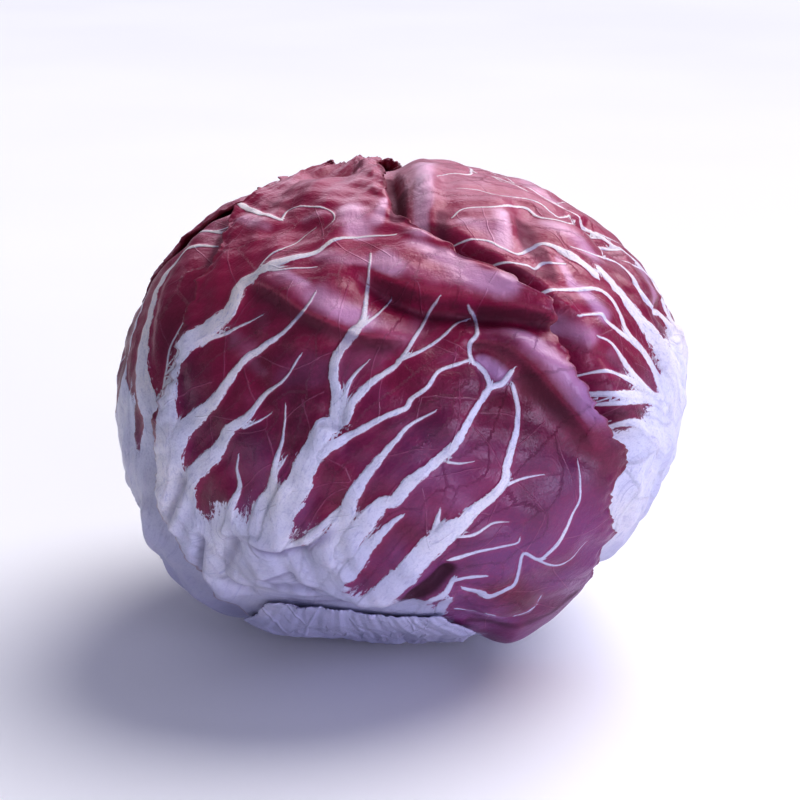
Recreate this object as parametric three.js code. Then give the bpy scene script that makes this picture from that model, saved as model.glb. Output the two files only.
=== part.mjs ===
// A head of round red radicchio: broad, thin leaves wrapped one over another round a dense heart,
// all growing from a short cut stem that the head stands on.
// Units are millimetres and +Z is up. The origin is the centre of the stem's cut face, and -Y is the front.
import * as THREE from "three";

// The head's outer envelope: an ellipsoid, a little flattened, squarer below than above.
const HEAD_WIDTH = 134;
const HEAD_DEPTH = 130;
const CENTRE_HEIGHT = 56;
const CROWN_RISE = 57.2;
const BASE_DROP = 54.6;
const CROWN_SQUARENESS = 2.14;
const BASE_SQUARENESS = 2.12;

// The blades, and the free space that parts each from the next.
const BLADE_THICKNESS = 0.9;
const FOOT_THICKNESS = 1.5;
const LEAF_GAP = 1.1;
const FOOT_GAP = 1.0;
const DRAPE_REACH = 18;
const DRAPE_MARGIN = 8;

// The stem tapers upwards towards the middle of the head, inside the ring of leaf feet.
const STEM_HALF_ANGLE = 12.2;
const STEM_HEIGHT = 24;
const STEM_SIDES = 24;
const STEM_CUT_BEVEL = 0.8;
const SOCKET_DEPTH = 24;
const SOCKET_ANGLE = 24;

const MEAN_RADIUS = 62;
const RAD = Math.PI / 180;

const WINE_RED = 0x6b1a36;
const DEEP_WINE = 0x571530;
const RIB_WHITE = 0xdad6e4;
const CUT_CREAM = 0xd9c9a8;

// Broad swellings and hollows of the whole head: where they lie (azimuth, angle up from the stem, in
// degrees), how high they stand and how far they reach, in millimetres.
const SWELLINGS = [
  { azimuth: -60, rise: 56, height: 2.2, reach: 22 },
  { azimuth: -92, rise: 70, height: -2.6, reach: 22 },
  { azimuth: -48, rise: 74, height: 1.4, reach: 22 },
  { azimuth: 82, rise: 62, height: -4.4, reach: 26 },
  { azimuth: 38, rise: 40, height: 3.4, reach: 16 },
  { azimuth: -6, rise: 36, height: -3.4, reach: 20 },
  { azimuth: -48, rise: 42, height: 2.2, reach: 16 },
  { azimuth: 84, rise: 108, height: 1.4, reach: 22 },
  { azimuth: -20, rise: 132, height: 1.8, reach: 18 },
  { azimuth: 38, rise: 128, height: 1.6, reach: 20 },
  { azimuth: 8, rise: 78, height: 1.0, reach: 20 },
  { azimuth: 150, rise: 70, height: 2.2, reach: 26 },
  { azimuth: -150, rise: 100, height: 2.0, reach: 26 },
  { azimuth: 178, rise: 128, height: -1.6, reach: 22 },
  { azimuth: -118, rise: 82, height: -1.4, reach: 20 },
  { azimuth: 112, rise: 78, height: -1.5, reach: 20 },
];

// Folds where the outer blades have buckled: the line of each, from its left end to its right end, how far
// its upper side stands over its lower side, and how far that reaches.
const FOLDS = [
  { line: [[-40, 121], [-22, 117], [-4, 121]], step: 2.2, reach: 16 },
  { line: [[-14, 133], [6, 128], [34, 124]], step: 3.0, reach: 15 },
  { line: [[12, 119], [30, 110], [46, 92]], step: 3.2, reach: 15 },
  { line: [[-46, 66], [-28, 61], [-6, 68]], step: 2.0, reach: 12 },
  { line: [[150, 96], [170, 88], [-168, 92]], step: 2.0, reach: 14 },
];
const FOLD_SOFTNESS = 3.2;
const INNER_LEAVES = 4;

// Each leaf, from the innermost to the outermost. azimuth is where its midrib stands, foot and tip are how
// far up from the stem it starts and ends, and left and right are its half widths, all in degrees round the
// head. seed sets the waves of its cut and lifted edge, and an outline of its own replaces the common one.
const BLADE_OUTLINE = [[0, 0.26], [0.16, 0.5], [0.4, 0.96], [0.62, 1], [0.8, 0.86], [0.9, 0.68], [1, 0.3]];
const SHORT_OUTLINE = [[0, 0.36], [0.3, 0.74], [0.7, 1], [1, 0.72]];
const FRONT_LEFT_EDGE = [[0, 0.3], [0.14, 0.62], [0.34, 0.96], [0.5, 1], [0.76, 0.96], [0.9, 0.74], [1, 0.38]];
const FRONT_RIGHT_EDGE = [
  [0, 0.3], [0.14, 0.56], [0.3, 0.9], [0.47, 1], [0.62, 0.86], [0.72, 0.56], [0.84, 0.08], [1, -0.04],
];
const RIGHT_LEFT_EDGE = [[0, 0.24], [0.16, 0.46], [0.4, 0.9], [0.62, 1], [0.84, 1], [0.93, 0.8], [1, 0.4]];
const LEAVES = [
  { name: "inner_leaf_1", azimuth: -140, foot: 15, tip: 176, left: 46, right: 46, seed: 1.7 },
  { name: "inner_leaf_2", azimuth: 20, foot: 15, tip: 172, left: 46, right: 46, seed: 2.9 },
  { name: "inner_leaf_3", azimuth: 118, foot: 15, tip: 178, left: 48, right: 48, seed: 4.3 },
  { name: "inner_leaf_4", azimuth: -58, foot: 15, tip: 174, left: 46, right: 46, seed: 5.1 },
  { name: "back_leaf", azimuth: 176, foot: 14, tip: 182, left: 54, right: 56, seed: 6.4 },
  { name: "left_leaf", azimuth: -92, foot: 14, tip: 176, left: 52, right: 54, seed: 7.2 },
  { name: "back_right_leaf", azimuth: 136, foot: 14, tip: 172, left: 48, right: 50, seed: 8.8 },
  { name: "right_leaf", azimuth: 78, foot: 14, tip: 188, left: 60, right: 46, seed: 9.5,
    leftOutline: RIGHT_LEFT_EDGE },
  { name: "back_left_leaf", azimuth: -138, foot: 14, tip: 174, left: 52, right: 44, seed: 10.6 },
  { name: "front_leaf", azimuth: -5, foot: 14, tip: 179, left: 48, right: 53, seed: 11.3,
    leftOutline: FRONT_LEFT_EDGE, rightOutline: FRONT_RIGHT_EDGE },
  { name: "base_leaf_back", azimuth: 162, foot: 14, tip: 64, left: 40, right: 36, seed: 12.9,
    leftOutline: SHORT_OUTLINE, rightOutline: SHORT_OUTLINE, short: true },
  { name: "base_leaf_front", azimuth: -10, foot: 14, tip: 47, left: 27, right: 23, seed: 13.7,
    leftOutline: SHORT_OUTLINE, rightOutline: SHORT_OUTLINE, short: true },
];

// Ribs fan out from a leaf's foot, two grid columns apart, and die away towards its edge and its tip.
const RIB_HEIGHT = 1.9;
const RIB_FADE_POWER = 1.3;
const EDGE_WAVE = 2.6;
const EDGE_LIFT = 1.5;
const EDGE_LIFT_REACH = 9;

// A leaf's foot bends round the stem: how many degrees its corners reach back past its middle.
const FOOT_CLASP = 5;

const GRIDS = {
  inner: { columns: 12, rows: 16 },
  outer: { columns: 14, rows: 18 },
  short: { columns: 10, rows: 6 },
};

// A soft step from 0 to 1.
function smooth(t) {
  const x = Math.min(1, Math.max(0, t));
  return x * x * (3 - 2 * x);
}

// A piecewise curve through [place, value] rows, eased between them.
function along(rows, place) {
  let i = 0;
  while (i < rows.length - 2 && place > rows[i + 1][0]) i++;
  const [x0, y0] = rows[i];
  const [x1, y1] = rows[i + 1];
  const t = Math.min(1, Math.max(0, (place - x0) / (x1 - x0)));
  return y0 + (y1 - y0) * t;
}

// The outward direction at an azimuth (0 is the front, 90 the right) and an angle up from the stem.
function direction(azimuth, rise) {
  const [p, a] = [azimuth * RAD, rise * RAD];
  return [Math.sin(a) * Math.sin(p), -Math.sin(a) * Math.cos(p), -Math.cos(a)];
}

const dot = (p, q) => p[0] * q[0] + p[1] * q[1] + p[2] * q[2];
const cross = (p, q) => [p[1] * q[2] - p[2] * q[1], p[2] * q[0] - p[0] * q[2], p[0] * q[1] - p[1] * q[0]];

// A hump of height 1 round a direction, in millimetres along the surface.
function hump(d, centre, reach) {
  const away = Math.acos(Math.min(1, Math.max(-1, dot(d, centre)))) * MEAN_RADIUS;
  return Math.exp(-((away / reach) ** 2));
}

// The nearest point of a fold's line: signed millimetres from it, positive above, and the share along it.
function fromLine(d, points) {
  let best = { away: Infinity, share: 0 };
  for (let i = 0; i < points.length - 1; i++) {
    const [p, q] = [points[i], points[i + 1]];
    const span = q.map((x, k) => x - p[k]);
    const t = Math.min(1, Math.max(0, dot(d.map((x, k) => x - p[k]), span) / dot(span, span)));
    const gap = d.map((x, k) => x - p[k] - t * span[k]);
    const away = Math.sqrt(dot(gap, gap)) * MEAN_RADIUS;
    if (away < Math.abs(best.away)) {
      const side = dot(cross(q, p), d) > 0 ? -1 : 1;
      best = { away: side * away, share: (i + t) / (points.length - 1) };
    }
  }
  return best;
}

const swellings = SWELLINGS.map((s) => ({ ...s, centre: direction(s.azimuth, s.rise) }));
const folds = FOLDS.map((f) => ({ ...f, points: f.line.map(([azimuth, rise]) => direction(azimuth, rise)) }));

// A fold's height at a direction: a soft step across its line that dies away on both sides and at its ends.
// The inner leaves don't buckle: they stay under the fold's lower side.
function foldHeight(fold, d, buckled) {
  const { away, share } = fromLine(d, fold.points);
  const side = buckled ? Math.tanh(away / FOLD_SOFTNESS) : -1;
  const fade = Math.exp(-((away / fold.reach) ** 2));
  return 0.5 * fold.step * side * fade * smooth(4 * share) * smooth(4 * (1 - share));
}

// The distance from the middle of the head to its outer envelope, along a direction.
function envelope(d, buckled) {
  const flat = Math.hypot(d[0] / (HEAD_WIDTH / 2), d[1] / (HEAD_DEPTH / 2));
  const upper = d[2] > 0;
  const tall = Math.abs(d[2]) / (upper ? CROWN_RISE : BASE_DROP);
  const power = upper ? CROWN_SQUARENESS : BASE_SQUARENESS;
  let r = (flat ** power + tall ** power) ** (-1 / power);
  // The underside stays level near the stem, so swellings and folds die away there.
  const free = smooth((Math.acos(-d[2]) / RAD - 22) / 22);
  for (const s of swellings) r += free * s.height * hump(d, s.centre, s.reach);
  for (const f of folds) r += free * foldHeight(f, d, buckled);
  return r;
}

// Smooth noise on a leaf's own coordinates: a few seeded sine waves.
function ripple(seed, x, y) {
  return (
    0.5 * Math.sin(2.1 * x + 1.3 * y + 5.1 * seed) +
    0.3 * Math.sin(4.7 * x - 2.2 * y + 9.7 * seed) +
    0.2 * Math.sin(8.3 * x + 3.1 * y + 3.3 * seed)
  );
}

// A leaf's own angles at a direction: a runs from the stem up its midrib, b to its right.
function leafAngles(leaf, d) {
  const p = leaf.azimuth * RAD;
  const right = d[0] * Math.cos(p) + d[1] * Math.sin(p);
  const out = d[0] * Math.sin(p) - d[1] * Math.cos(p);
  let a = Math.atan2(out, -d[2]) / RAD;
  if (a < -90) a += 360;
  return [a, Math.asin(Math.min(1, Math.max(-1, right))) / RAD];
}

function leafDirection(leaf, a, b) {
  const p = leaf.azimuth * RAD;
  const [right, out, up] = [Math.sin(b * RAD), Math.cos(b * RAD) * Math.sin(a * RAD), -Math.cos(b * RAD) * Math.cos(a * RAD)];
  return [right * Math.cos(p) + out * Math.sin(p), right * Math.sin(p) - out * Math.cos(p), up];
}

// A leaf's plain half width at a share of its length, on its right (side 1) or left (side -1).
function halfWidth(leaf, share, side) {
  const outline = (side > 0 ? leaf.rightOutline : leaf.leftOutline) || BLADE_OUTLINE;
  return (side > 0 ? leaf.right : leaf.left) * along(outline, share);
}

// 1 where a leaf covers a direction, falling to 0 a little way outside its outline.
function coverage(leaf, d) {
  const [a, b] = leafAngles(leaf, d);
  const share = (a - leaf.foot) / (leaf.tip - leaf.foot);
  const side = b > 0 ? 1 : -1;
  const held = Math.min(1, Math.max(0, share));
  const past = Math.max(
    side * b - halfWidth(leaf, held, side),
    a - leaf.tip,
    leaf.foot - a,
    0,
  );
  return smooth(1 - (past * RAD * MEAN_RADIUS - DRAPE_MARGIN) / DRAPE_REACH);
}

// A leaf is thickest at its foot, where its ribs run together.
function thickness(leaf, d) {
  const [a] = leafAngles(leaf, d);
  return BLADE_THICKNESS + FOOT_THICKNESS * Math.exp(-(((a - leaf.foot) / 34) ** 2));
}

// The room that a leaf takes: its thickness, and the gap under it, wider where the leaves crowd at their feet.
function room(leaf, d) {
  const [a] = leafAngles(leaf, d);
  return thickness(leaf, d) + LEAF_GAP + FOOT_GAP * Math.exp(-(((a - leaf.foot) / 16) ** 2));
}

// The surface under every leaf from number first outwards, and how free of them it is, along a direction.
function under(first, d) {
  let r = envelope(d, first > INNER_LEAVES);
  let free = 1;
  for (let j = first; j < LEAVES.length; j++) {
    const cover = coverage(LEAVES[j], d);
    r -= cover * room(LEAVES[j], d);
    free *= 1 - cover;
  }
  return { r, free };
}

// The place of a direction at a distance from the middle of the head.
const placed = (d, r) => [d[0] * r, d[1] * r, CENTRE_HEIGHT + d[2] * r];

// A leaf's point for u from foot to tip and v from its left edge, -1, to its right edge, 1.
function leafPoint(leaf, number, u, v, outside) {
  const a = leaf.foot + (leaf.tip - leaf.foot) * u - FOOT_CLASP * v * v * (1 - u) ** 8;
  const wave = EDGE_WAVE * ripple(leaf.seed, 11 * u, 2 * v) * smooth(4 * u);
  const edge = halfWidth(leaf, u, v > 0 ? 1 : -1) + wave / (MEAN_RADIUS * RAD);
  const middle = (halfWidth(leaf, u, 1) - halfWidth(leaf, u, -1)) / 2;
  const half = (halfWidth(leaf, u, 1) + halfWidth(leaf, u, -1)) / 2;
  const plain = middle + half * v;
  const b = plain + Math.abs(v) ** 4 * Math.sign(v) * (edge - halfWidth(leaf, u, v > 0 ? 1 : -1));
  const d = leafDirection(leaf, a, b);
  const { r, free } = under(number + 1, d);
  const inset = (1 - Math.abs(v)) * half * RAD * MEAN_RADIUS;
  const tipInset = (leaf.tip - a) * RAD * MEAN_RADIUS;
  const lift = EDGE_LIFT * (0.5 + 0.5 * ripple(leaf.seed + 3, 16 * u, 5 * v))
    * Math.exp(-Math.min(inset, tipInset) / EDGE_LIFT_REACH) * smooth(3 * u);
  const surface = r + free * lift;
  if (!outside) return placed(d, surface - thickness(leaf, d));
  const column = Math.abs(v) * 3.5;
  const ridge = 0.5 + 0.5 * Math.cos(2 * Math.PI * column);
  const fade = (1 - u) ** RIB_FADE_POWER * (1 - 0.55 * Math.abs(v)) * smooth((1 - Math.abs(v)) * 7) * smooth(8 * u);
  return placed(d, surface + free * RIB_HEIGHT * ridge * fade);
}

// A closed mesh from two matching grids of points, outer and inner, and the rim that joins them.
function shell(rows, columns, point) {
  const positions = [];
  const index = [];
  const at = (side, i, j) => side * (rows + 1) * (columns + 1) + i * (columns + 1) + j;
  for (const outside of [true, false])
    for (let i = 0; i <= rows; i++)
      for (let j = 0; j <= columns; j++) positions.push(...point(i / rows, (2 * j) / columns - 1, outside));
  for (let i = 0; i < rows; i++)
    for (let j = 0; j < columns; j++) {
      const [a, b, c, e] = [at(0, i, j), at(0, i, j + 1), at(0, i + 1, j + 1), at(0, i + 1, j)];
      index.push(a, b, c, a, c, e);
      const [p, q, r, s] = [at(1, i, j), at(1, i, j + 1), at(1, i + 1, j + 1), at(1, i + 1, j)];
      index.push(p, r, q, p, s, r);
    }
  const rim = [];
  for (let j = 0; j < columns; j++) rim.push([0, j]);
  for (let i = 0; i < rows; i++) rim.push([i, columns]);
  for (let j = columns; j > 0; j--) rim.push([rows, j]);
  for (let i = rows; i > 0; i--) rim.push([i, 0]);
  rim.forEach(([i, j], k) => {
    const [m, n] = rim[(k + 1) % rim.length];
    const [a, b, c, e] = [at(0, i, j), at(0, m, n), at(1, m, n), at(1, i, j)];
    index.push(a, c, b, a, e, c);
  });
  return closed(positions, index);
}

function closed(positions, index) {
  const geometry = new THREE.BufferGeometry();
  geometry.setAttribute("position", new THREE.Float32BufferAttribute(positions, 3));
  geometry.setIndex(index);
  geometry.computeVertexNormals();
  return geometry;
}

function leafMesh(leaf, number) {
  const kind = leaf.short ? "short" : number < INNER_LEAVES ? "inner" : "outer";
  const { rows, columns } = GRIDS[kind];
  const geometry = shell(rows, columns, (u, v, outside) => leafPoint(leaf, number, u, v, outside));
  return named(leaf.name, geometry, leaf.short ? RIB_WHITE : kind === "inner" ? DEEP_WINE : WINE_RED, 0.45);
}

// The heart is the tight bud of small leaves inside: the space that the leaves leave, with their edges
// showing on it as a spiral of low steps, and a socket below for the stem.
const HEART_RINGS = 15;
const HEART_SECTORS = 26;
const HEART_LEAVES = 5;
const HEART_STEP = 1.6;
const HEART_CLEARANCE = 0.9;

function heartPoint(rise, azimuth) {
  const d = direction(azimuth, rise);
  const { r } = under(0, d);
  const turn = (azimuth / 360) * HEART_LEAVES + rise / 130;
  const step = HEART_STEP * (turn - Math.floor(turn)) * smooth((rise - 30) / 40) * smooth((176 - rise) / 24);
  const socket = SOCKET_DEPTH * smooth((SOCKET_ANGLE + 14 - rise) / 14);
  return placed(d, r - HEART_CLEARANCE - step - socket);
}

function heartMesh() {
  const positions = [...heartPoint(0, 0)];
  const index = [];
  for (let i = 1; i < HEART_RINGS; i++)
    for (let j = 0; j < HEART_SECTORS; j++)
      positions.push(...heartPoint((180 * i) / HEART_RINGS, (360 * j) / HEART_SECTORS));
  positions.push(...heartPoint(180, 0));
  const top = positions.length / 3 - 1;
  const at = (i, j) => 1 + (i - 1) * HEART_SECTORS + (j % HEART_SECTORS);
  for (let j = 0; j < HEART_SECTORS; j++) {
    index.push(0, at(1, j + 1), at(1, j));
    for (let i = 1; i < HEART_RINGS - 1; i++)
      index.push(at(i, j), at(i, j + 1), at(i + 1, j + 1), at(i, j), at(i + 1, j + 1), at(i + 1, j));
    index.push(at(HEART_RINGS - 1, j), at(HEART_RINGS - 1, j + 1), top);
  }
  return named("heart", closed(positions, index), DEEP_WINE, 0.5);
}

// The stem is a solid of revolution: a flat cut face with a worn rim, then a plain taper up into the heart.
function stemMesh() {
  const slope = Math.tan(STEM_HALF_ANGLE * RAD);
  const radius = (z) => (CENTRE_HEIGHT - z) * slope;
  const profile = [
    [0, 0],
    [radius(0) - STEM_CUT_BEVEL, 0],
    [radius(STEM_CUT_BEVEL), STEM_CUT_BEVEL],
    [radius(STEM_HEIGHT / 2), STEM_HEIGHT / 2],
    [radius(STEM_HEIGHT) - 2, STEM_HEIGHT - 1],
    [0, STEM_HEIGHT],
  ];
  const geometry = new THREE.LatheGeometry(profile.map(([x, y]) => new THREE.Vector2(x, y)), STEM_SIDES);
  geometry.rotateX(Math.PI / 2);
  return named("stem", geometry, CUT_CREAM, 0.7);
}

function named(name, geometry, colour, roughness) {
  const mesh = new THREE.Mesh(geometry, new THREE.MeshStandardMaterial({ color: colour, roughness, metalness: 0 }));
  mesh.name = name;
  return mesh;
}

const head = new THREE.Group();
head.add(stemMesh(), heartMesh());
LEAVES.forEach((leaf, number) => head.add(leafMesh(leaf, number)));

export default head;
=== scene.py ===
"""A head of round red radicchio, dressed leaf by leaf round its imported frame.

Every leaf is a closed sheet of two grids. Along each direction from the middle of the head there is one
outer envelope, and a leaf lies under it by the room that the leaves outside it take, so they overlap as in a
real head. Lengths are worked out in millimetres and angles in degrees, and the meshes are made in metres.
"""
import math

import bpy
import numpy as np
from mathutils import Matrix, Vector


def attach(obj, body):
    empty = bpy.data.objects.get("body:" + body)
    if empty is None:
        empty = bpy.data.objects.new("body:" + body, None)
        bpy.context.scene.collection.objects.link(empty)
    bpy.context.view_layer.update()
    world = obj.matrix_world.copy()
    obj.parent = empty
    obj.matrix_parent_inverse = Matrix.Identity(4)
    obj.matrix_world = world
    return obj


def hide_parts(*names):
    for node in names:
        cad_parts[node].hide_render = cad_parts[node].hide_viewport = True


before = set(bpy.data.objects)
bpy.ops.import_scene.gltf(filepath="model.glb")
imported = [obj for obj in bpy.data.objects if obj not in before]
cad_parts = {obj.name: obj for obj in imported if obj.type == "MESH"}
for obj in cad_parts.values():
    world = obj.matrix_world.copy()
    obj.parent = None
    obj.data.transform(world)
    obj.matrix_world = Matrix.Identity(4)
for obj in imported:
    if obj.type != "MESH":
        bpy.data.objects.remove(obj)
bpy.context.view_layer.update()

DETAIL = 1.0
MM = 0.001

# The head's outer envelope: an ellipsoid, a little flattened and a little squared. The underside stays level
# for the degrees given, and the envelope's swellings and folds begin past it.
HEAD_WIDTH = 134
HEAD_DEPTH = 130
CENTRE_HEIGHT = 56
CROWN_RISE = 57.2
BASE_DROP = 54.6
CROWN_SQUARENESS = 2.14
BASE_SQUARENESS = 2.12
MEAN_RADIUS = 62
UNDERSIDE_ANGLE = 22

# The blades, and the free space that parts each from the next. Both grow towards the foot, over the degrees
# given, and a leaf under another's margin rises over the reach past it.
BLADE_THICKNESS = 0.9
FOOT_THICKNESS = 1.1
FOOT_THICKNESS_ANGLE = 34
LEAF_GAP = 0.4
FOOT_GAP = 0.3
FOOT_GAP_ANGLE = 16
DRAPE_REACH = 8
DRAPE_MARGIN = 3.5
INNER_LEAVES = 4
SHORT_TIP = 90

# The stem tapers upwards towards the middle of the head, inside the ring of leaf feet. Its profile holds
# shares of the taper's radius, and heights.
STEM_HALF_ANGLE = 12.2
STEM_HEIGHT = 24
STEM_SECTORS = 72
STEM_PROFILE = [
    (0.35, 0.0), (0.7, 0.0), (0.93, 0.0), (0.98, 0.25), (1.0, 0.9), (1.0, 4.0), (1.0, 12.0), (1.0, 20.0),
    (0.85, 23.4), (0.4, 24.0),
]

# Broad swellings and hollows of the whole head: azimuth and angle up from the stem, height and reach.
SWELLINGS = [
    (-60, 56, 2.2, 22),
    (-92, 70, -2.6, 22),
    (-48, 74, 1.4, 22),
    (82, 62, -4.4, 26),
    (38, 40, 3.4, 16),
    (-6, 36, -3.4, 20),
    (-48, 42, 2.2, 16),
    (84, 108, 1.4, 22),
    (-20, 132, 1.8, 18),
    (38, 128, 1.6, 20),
    (8, 78, 1.0, 20),
    (150, 70, 2.2, 26),
    (-150, 100, 2.0, 26),
    (178, 128, -1.6, 22),
    (-118, 82, -1.4, 20),
    (112, 78, -1.5, 20),
]

# Broad folds where the outer blades have buckled: line from left to right, how far its upper side stands
# over its lower side, and how far that reaches.
FOLDS = [
    ([(-40, 121), (-22, 117), (-4, 121)], 2.2, 16),
    ([(-14, 133), (6, 128), (34, 124)], 3.0, 15),
    ([(12, 119), (30, 110), (46, 92)], 3.2, 15),
    ([(-46, 66), (-28, 61), (-6, 68)], 2.0, 12),
    ([(150, 96), (170, 88), (-168, 92)], 2.0, 14),
]
FOLD_SOFTNESS = 3.2

# The camera, which also places what is read off the photograph.
IMAGE_SIDE = 800
LENS = 85.0
SENSOR = 36.0
CAMERA_RISE = 18.0
CAMERA_DISTANCE = 457.0
CAMERA_TARGET = (0.0, 0.0, 57.24)
EXPOSURE = 0.2
CONTRAST_GAMMA = 0.84
RAY_HALVINGS = 32

# Sharper creases of the outer blades, in pixels of the photograph from left to right: line, step of its
# upper side over its lower side, softness and reach. One that runs to the left has its lower side raised.
CREASES = [
    ([(236, 283), (266, 291), (306, 316), (348, 333), (385, 342), (425, 340)], 3.4, 1.0, 10),
    ([(335, 266), (370, 275), (415, 295), (450, 303), (500, 310), (530, 318), (560, 330),
      (590, 348)], 3.6, 0.8, 9),
    ([(452, 356), (472, 344), (500, 350), (525, 370), (545, 395), (575, 430), (603, 468)], 3.6, 1.1, 10),
    ([(350, 431), (330, 428), (314, 423)], 1.5, 0.5, 5),
    ([(228, 524), (269, 545), (291, 546), (308, 543), (326, 531), (347, 514)], 2.6, 0.7, 7),
    ([(232, 574), (262, 577), (291, 571), (299, 579), (316, 586), (339, 594), (356, 603)], 2.0, 0.7, 6),
    ([(245, 598), (273, 606), (303, 610), (347, 609), (368, 612), (400, 604), (430, 600),
      (452, 612)], 1.8, 0.6, 7),
    ([(456, 612), (482, 613), (507, 615), (521, 613), (533, 605), (541, 592)], 1.8, 0.6, 6),
    ([(392, 238), (440, 250), (480, 262)], 1.2, 1.2, 8),
]

# Grooves pressed into the outer blades, in pixels: line, depth and half width. A depth below 0 is a ridge.
GROOVES = [
    ([(188, 466), (180, 498), (172, 526)], 2.0, 1.3),
    ([(203, 528), (202, 560), (212, 594)], 2.2, 1.1),
    ([(240, 532), (230, 552), (220, 574)], 2.0, 1.7),
    ([(196, 500), (190, 520), (186, 545)], 1.0, 1.5),
    ([(230, 575), (229, 587), (240, 598)], 1.8, 1.1),
    ([(259, 581), (272, 587), (303, 589), (320, 600), (328, 605)], 1.6, 1.1),
    ([(155, 400), (158, 450), (160, 500)], 1.2, 1.6),
    ([(345, 280), (372, 287), (415, 305), (450, 312), (500, 318), (530, 325), (556, 336)], 2.6, 2.2),
    ([(480, 334), (515, 349), (545, 377), (575, 411), (602, 446)], -1.4, 4.0),
    ([(398, 606), (421, 588), (440, 575), (456, 560)], 2.2, 1.6),
    ([(387, 164), (392, 180), (394, 200), (400, 226)], 3.4, 1.2),
    ([(424, 166), (421, 200), (418, 232)], -1.4, 4.5),
    ([(444, 170), (440, 235)], 1.0, 3.0),
    ([(500, 196), (499, 242)], -1.4, 4.5),
    ([(526, 202), (525, 252)], 1.6, 3.5),
    ([(566, 222), (560, 256)], -1.0, 4.5),
    ([(300, 182), (330, 205), (362, 238)], -1.3, 6.0),
    ([(250, 236), (300, 232), (330, 236)], 1.0, 4.5),
    ([(232, 228), (262, 226), (290, 226)], -0.8, 2.5),
    ([(604, 262), (632, 300), (652, 340), (664, 380)], -0.9, 2.6),
    ([(622, 262), (646, 310), (662, 350)], 1.2, 2.0),
    ([(588, 352), (607, 358), (630, 381)], 1.4, 2.2),
    ([(330, 352), (352, 372), (330, 410)], -0.6, 8.0),
    ([(440, 400), (470, 440), (470, 470)], -0.8, 7.0),
    ([(296, 184), (330, 176), (368, 172)], 2.4, 6.0),
    ([(572, 218), (600, 238), (628, 262)], 3.2, 5.0),
    ([(652, 296), (668, 326), (678, 356)], 2.6, 6.0),
    ([(136, 496), (146, 526), (162, 560)], 3.4, 6.0),
    ([(250, 345), (262, 372), (250, 392)], 0.8, 6.0),
]

# Tones laid on the outer blades, in pixels: line, half width, and how pale with painted sheen, partly a waxy
# film (above 0), or how deep with painted shade and shadow (below 0) it is.
TONES = [
    ([(352, 216), (360, 238)], 3.2, 1.0),
    ([(388, 206), (379, 226)], 1.8, 0.9),
    ([(306, 222), (322, 219)], 1.9, 0.45),
    ([(247, 225), (270, 231)], 1.9, 0.6),
    ([(320, 256), (352, 264), (392, 272)], 2.3, 0.5),
    ([(282, 273), (296, 281), (309, 287)], 1.0, 0.5),
    ([(322, 297), (342, 311), (364, 324)], 3.0, 0.6),
    ([(234, 340), (254, 346)], 2.6, 0.3),
    ([(248, 362), (262, 372)], 2.0, 0.35),
    ([(424, 168), (423, 200), (425, 228)], 2.7, 1.0),
    ([(460, 224), (478, 230)], 2.4, 0.6),
    ([(500, 220), (502, 246)], 2.7, 0.9),
    ([(418, 246), (445, 262), (494, 288)], 3.2, 0.8),
    ([(384, 258), (390, 270)], 2.6, 0.5),
    ([(523, 186), (553, 204)], 3.2, 0.55),
    ([(546, 228), (566, 240), (588, 256)], 3.2, 0.7),
    ([(558, 260), (570, 284)], 1.7, 0.8),
    ([(584, 294), (602, 316)], 2.2, 0.9),
    ([(553, 318), (590, 338)], 2.8, 0.6),
    ([(492, 315), (520, 326)], 2.2, 0.45),
    ([(520, 330), (550, 368), (575, 412)], 3.4, 0.45),
    ([(610, 356), (640, 392)], 2.2, 0.5),
    ([(640, 270), (658, 310)], 2.4, 0.6),
    ([(404, 186), (398, 222)], 2.0, -0.8),
    ([(440, 216), (440, 240)], 2.6, -0.9),
    ([(522, 226), (530, 250)], 3.4, -0.9),
    ([(540, 254), (548, 268)], 2.6, -0.8),
    ([(482, 270), (516, 274), (550, 280)], 1.8, -0.7),
    ([(522, 300), (566, 300)], 1.5, -0.6),
    ([(272, 206), (292, 212)], 1.6, -0.6),
    ([(348, 243), (374, 251)], 1.2, -0.7),
    ([(386, 170), (391, 188), (397, 204), (398, 224)], 1.7, -1.6),
    ([(224, 222), (214, 243), (206, 262)], 1.5, -0.9),
    ([(180, 262), (172, 300), (166, 350)], 3.0, -0.4),
    ([(403, 600), (425, 588), (448, 570)], 1.8, -1.0),
    ([(484, 358), (508, 374)], 2.4, 1.2),
    ([(404, 298), (440, 306), (476, 310)], 1.0, 0.8),
    ([(472, 627), (508, 627), (542, 613), (572, 590)], 1.8, -0.6),
    ([(470, 617), (502, 620), (524, 612), (540, 597)], 0.9, 0.6),
]
# Painted highlight on the lip over each fold, painted shade under it, the step at which both are full, and
# the strongest tone.
LIP_SHINE = 0.35
FOLD_SHADE = 1.0
FULL_FOLD = 3
STRONGEST_TONE = 1.2

# Outlines of blades: share of the length, and share of the half width.
BLADE_OUTLINE = [(0, 0.26), (0.16, 0.5), (0.4, 0.96), (0.62, 1), (0.8, 0.86), (0.9, 0.68), (1, 0.3)]
SHORT_OUTLINE = [(0, 0.36), (0.3, 0.74), (0.7, 1), (1, 0.72)]
RIGHT_LEFT_EDGE = [(0, 0.24), (0.16, 0.46), (0.4, 0.9), (0.62, 1), (0.84, 1), (0.93, 0.8), (1, 0.4)]

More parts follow.
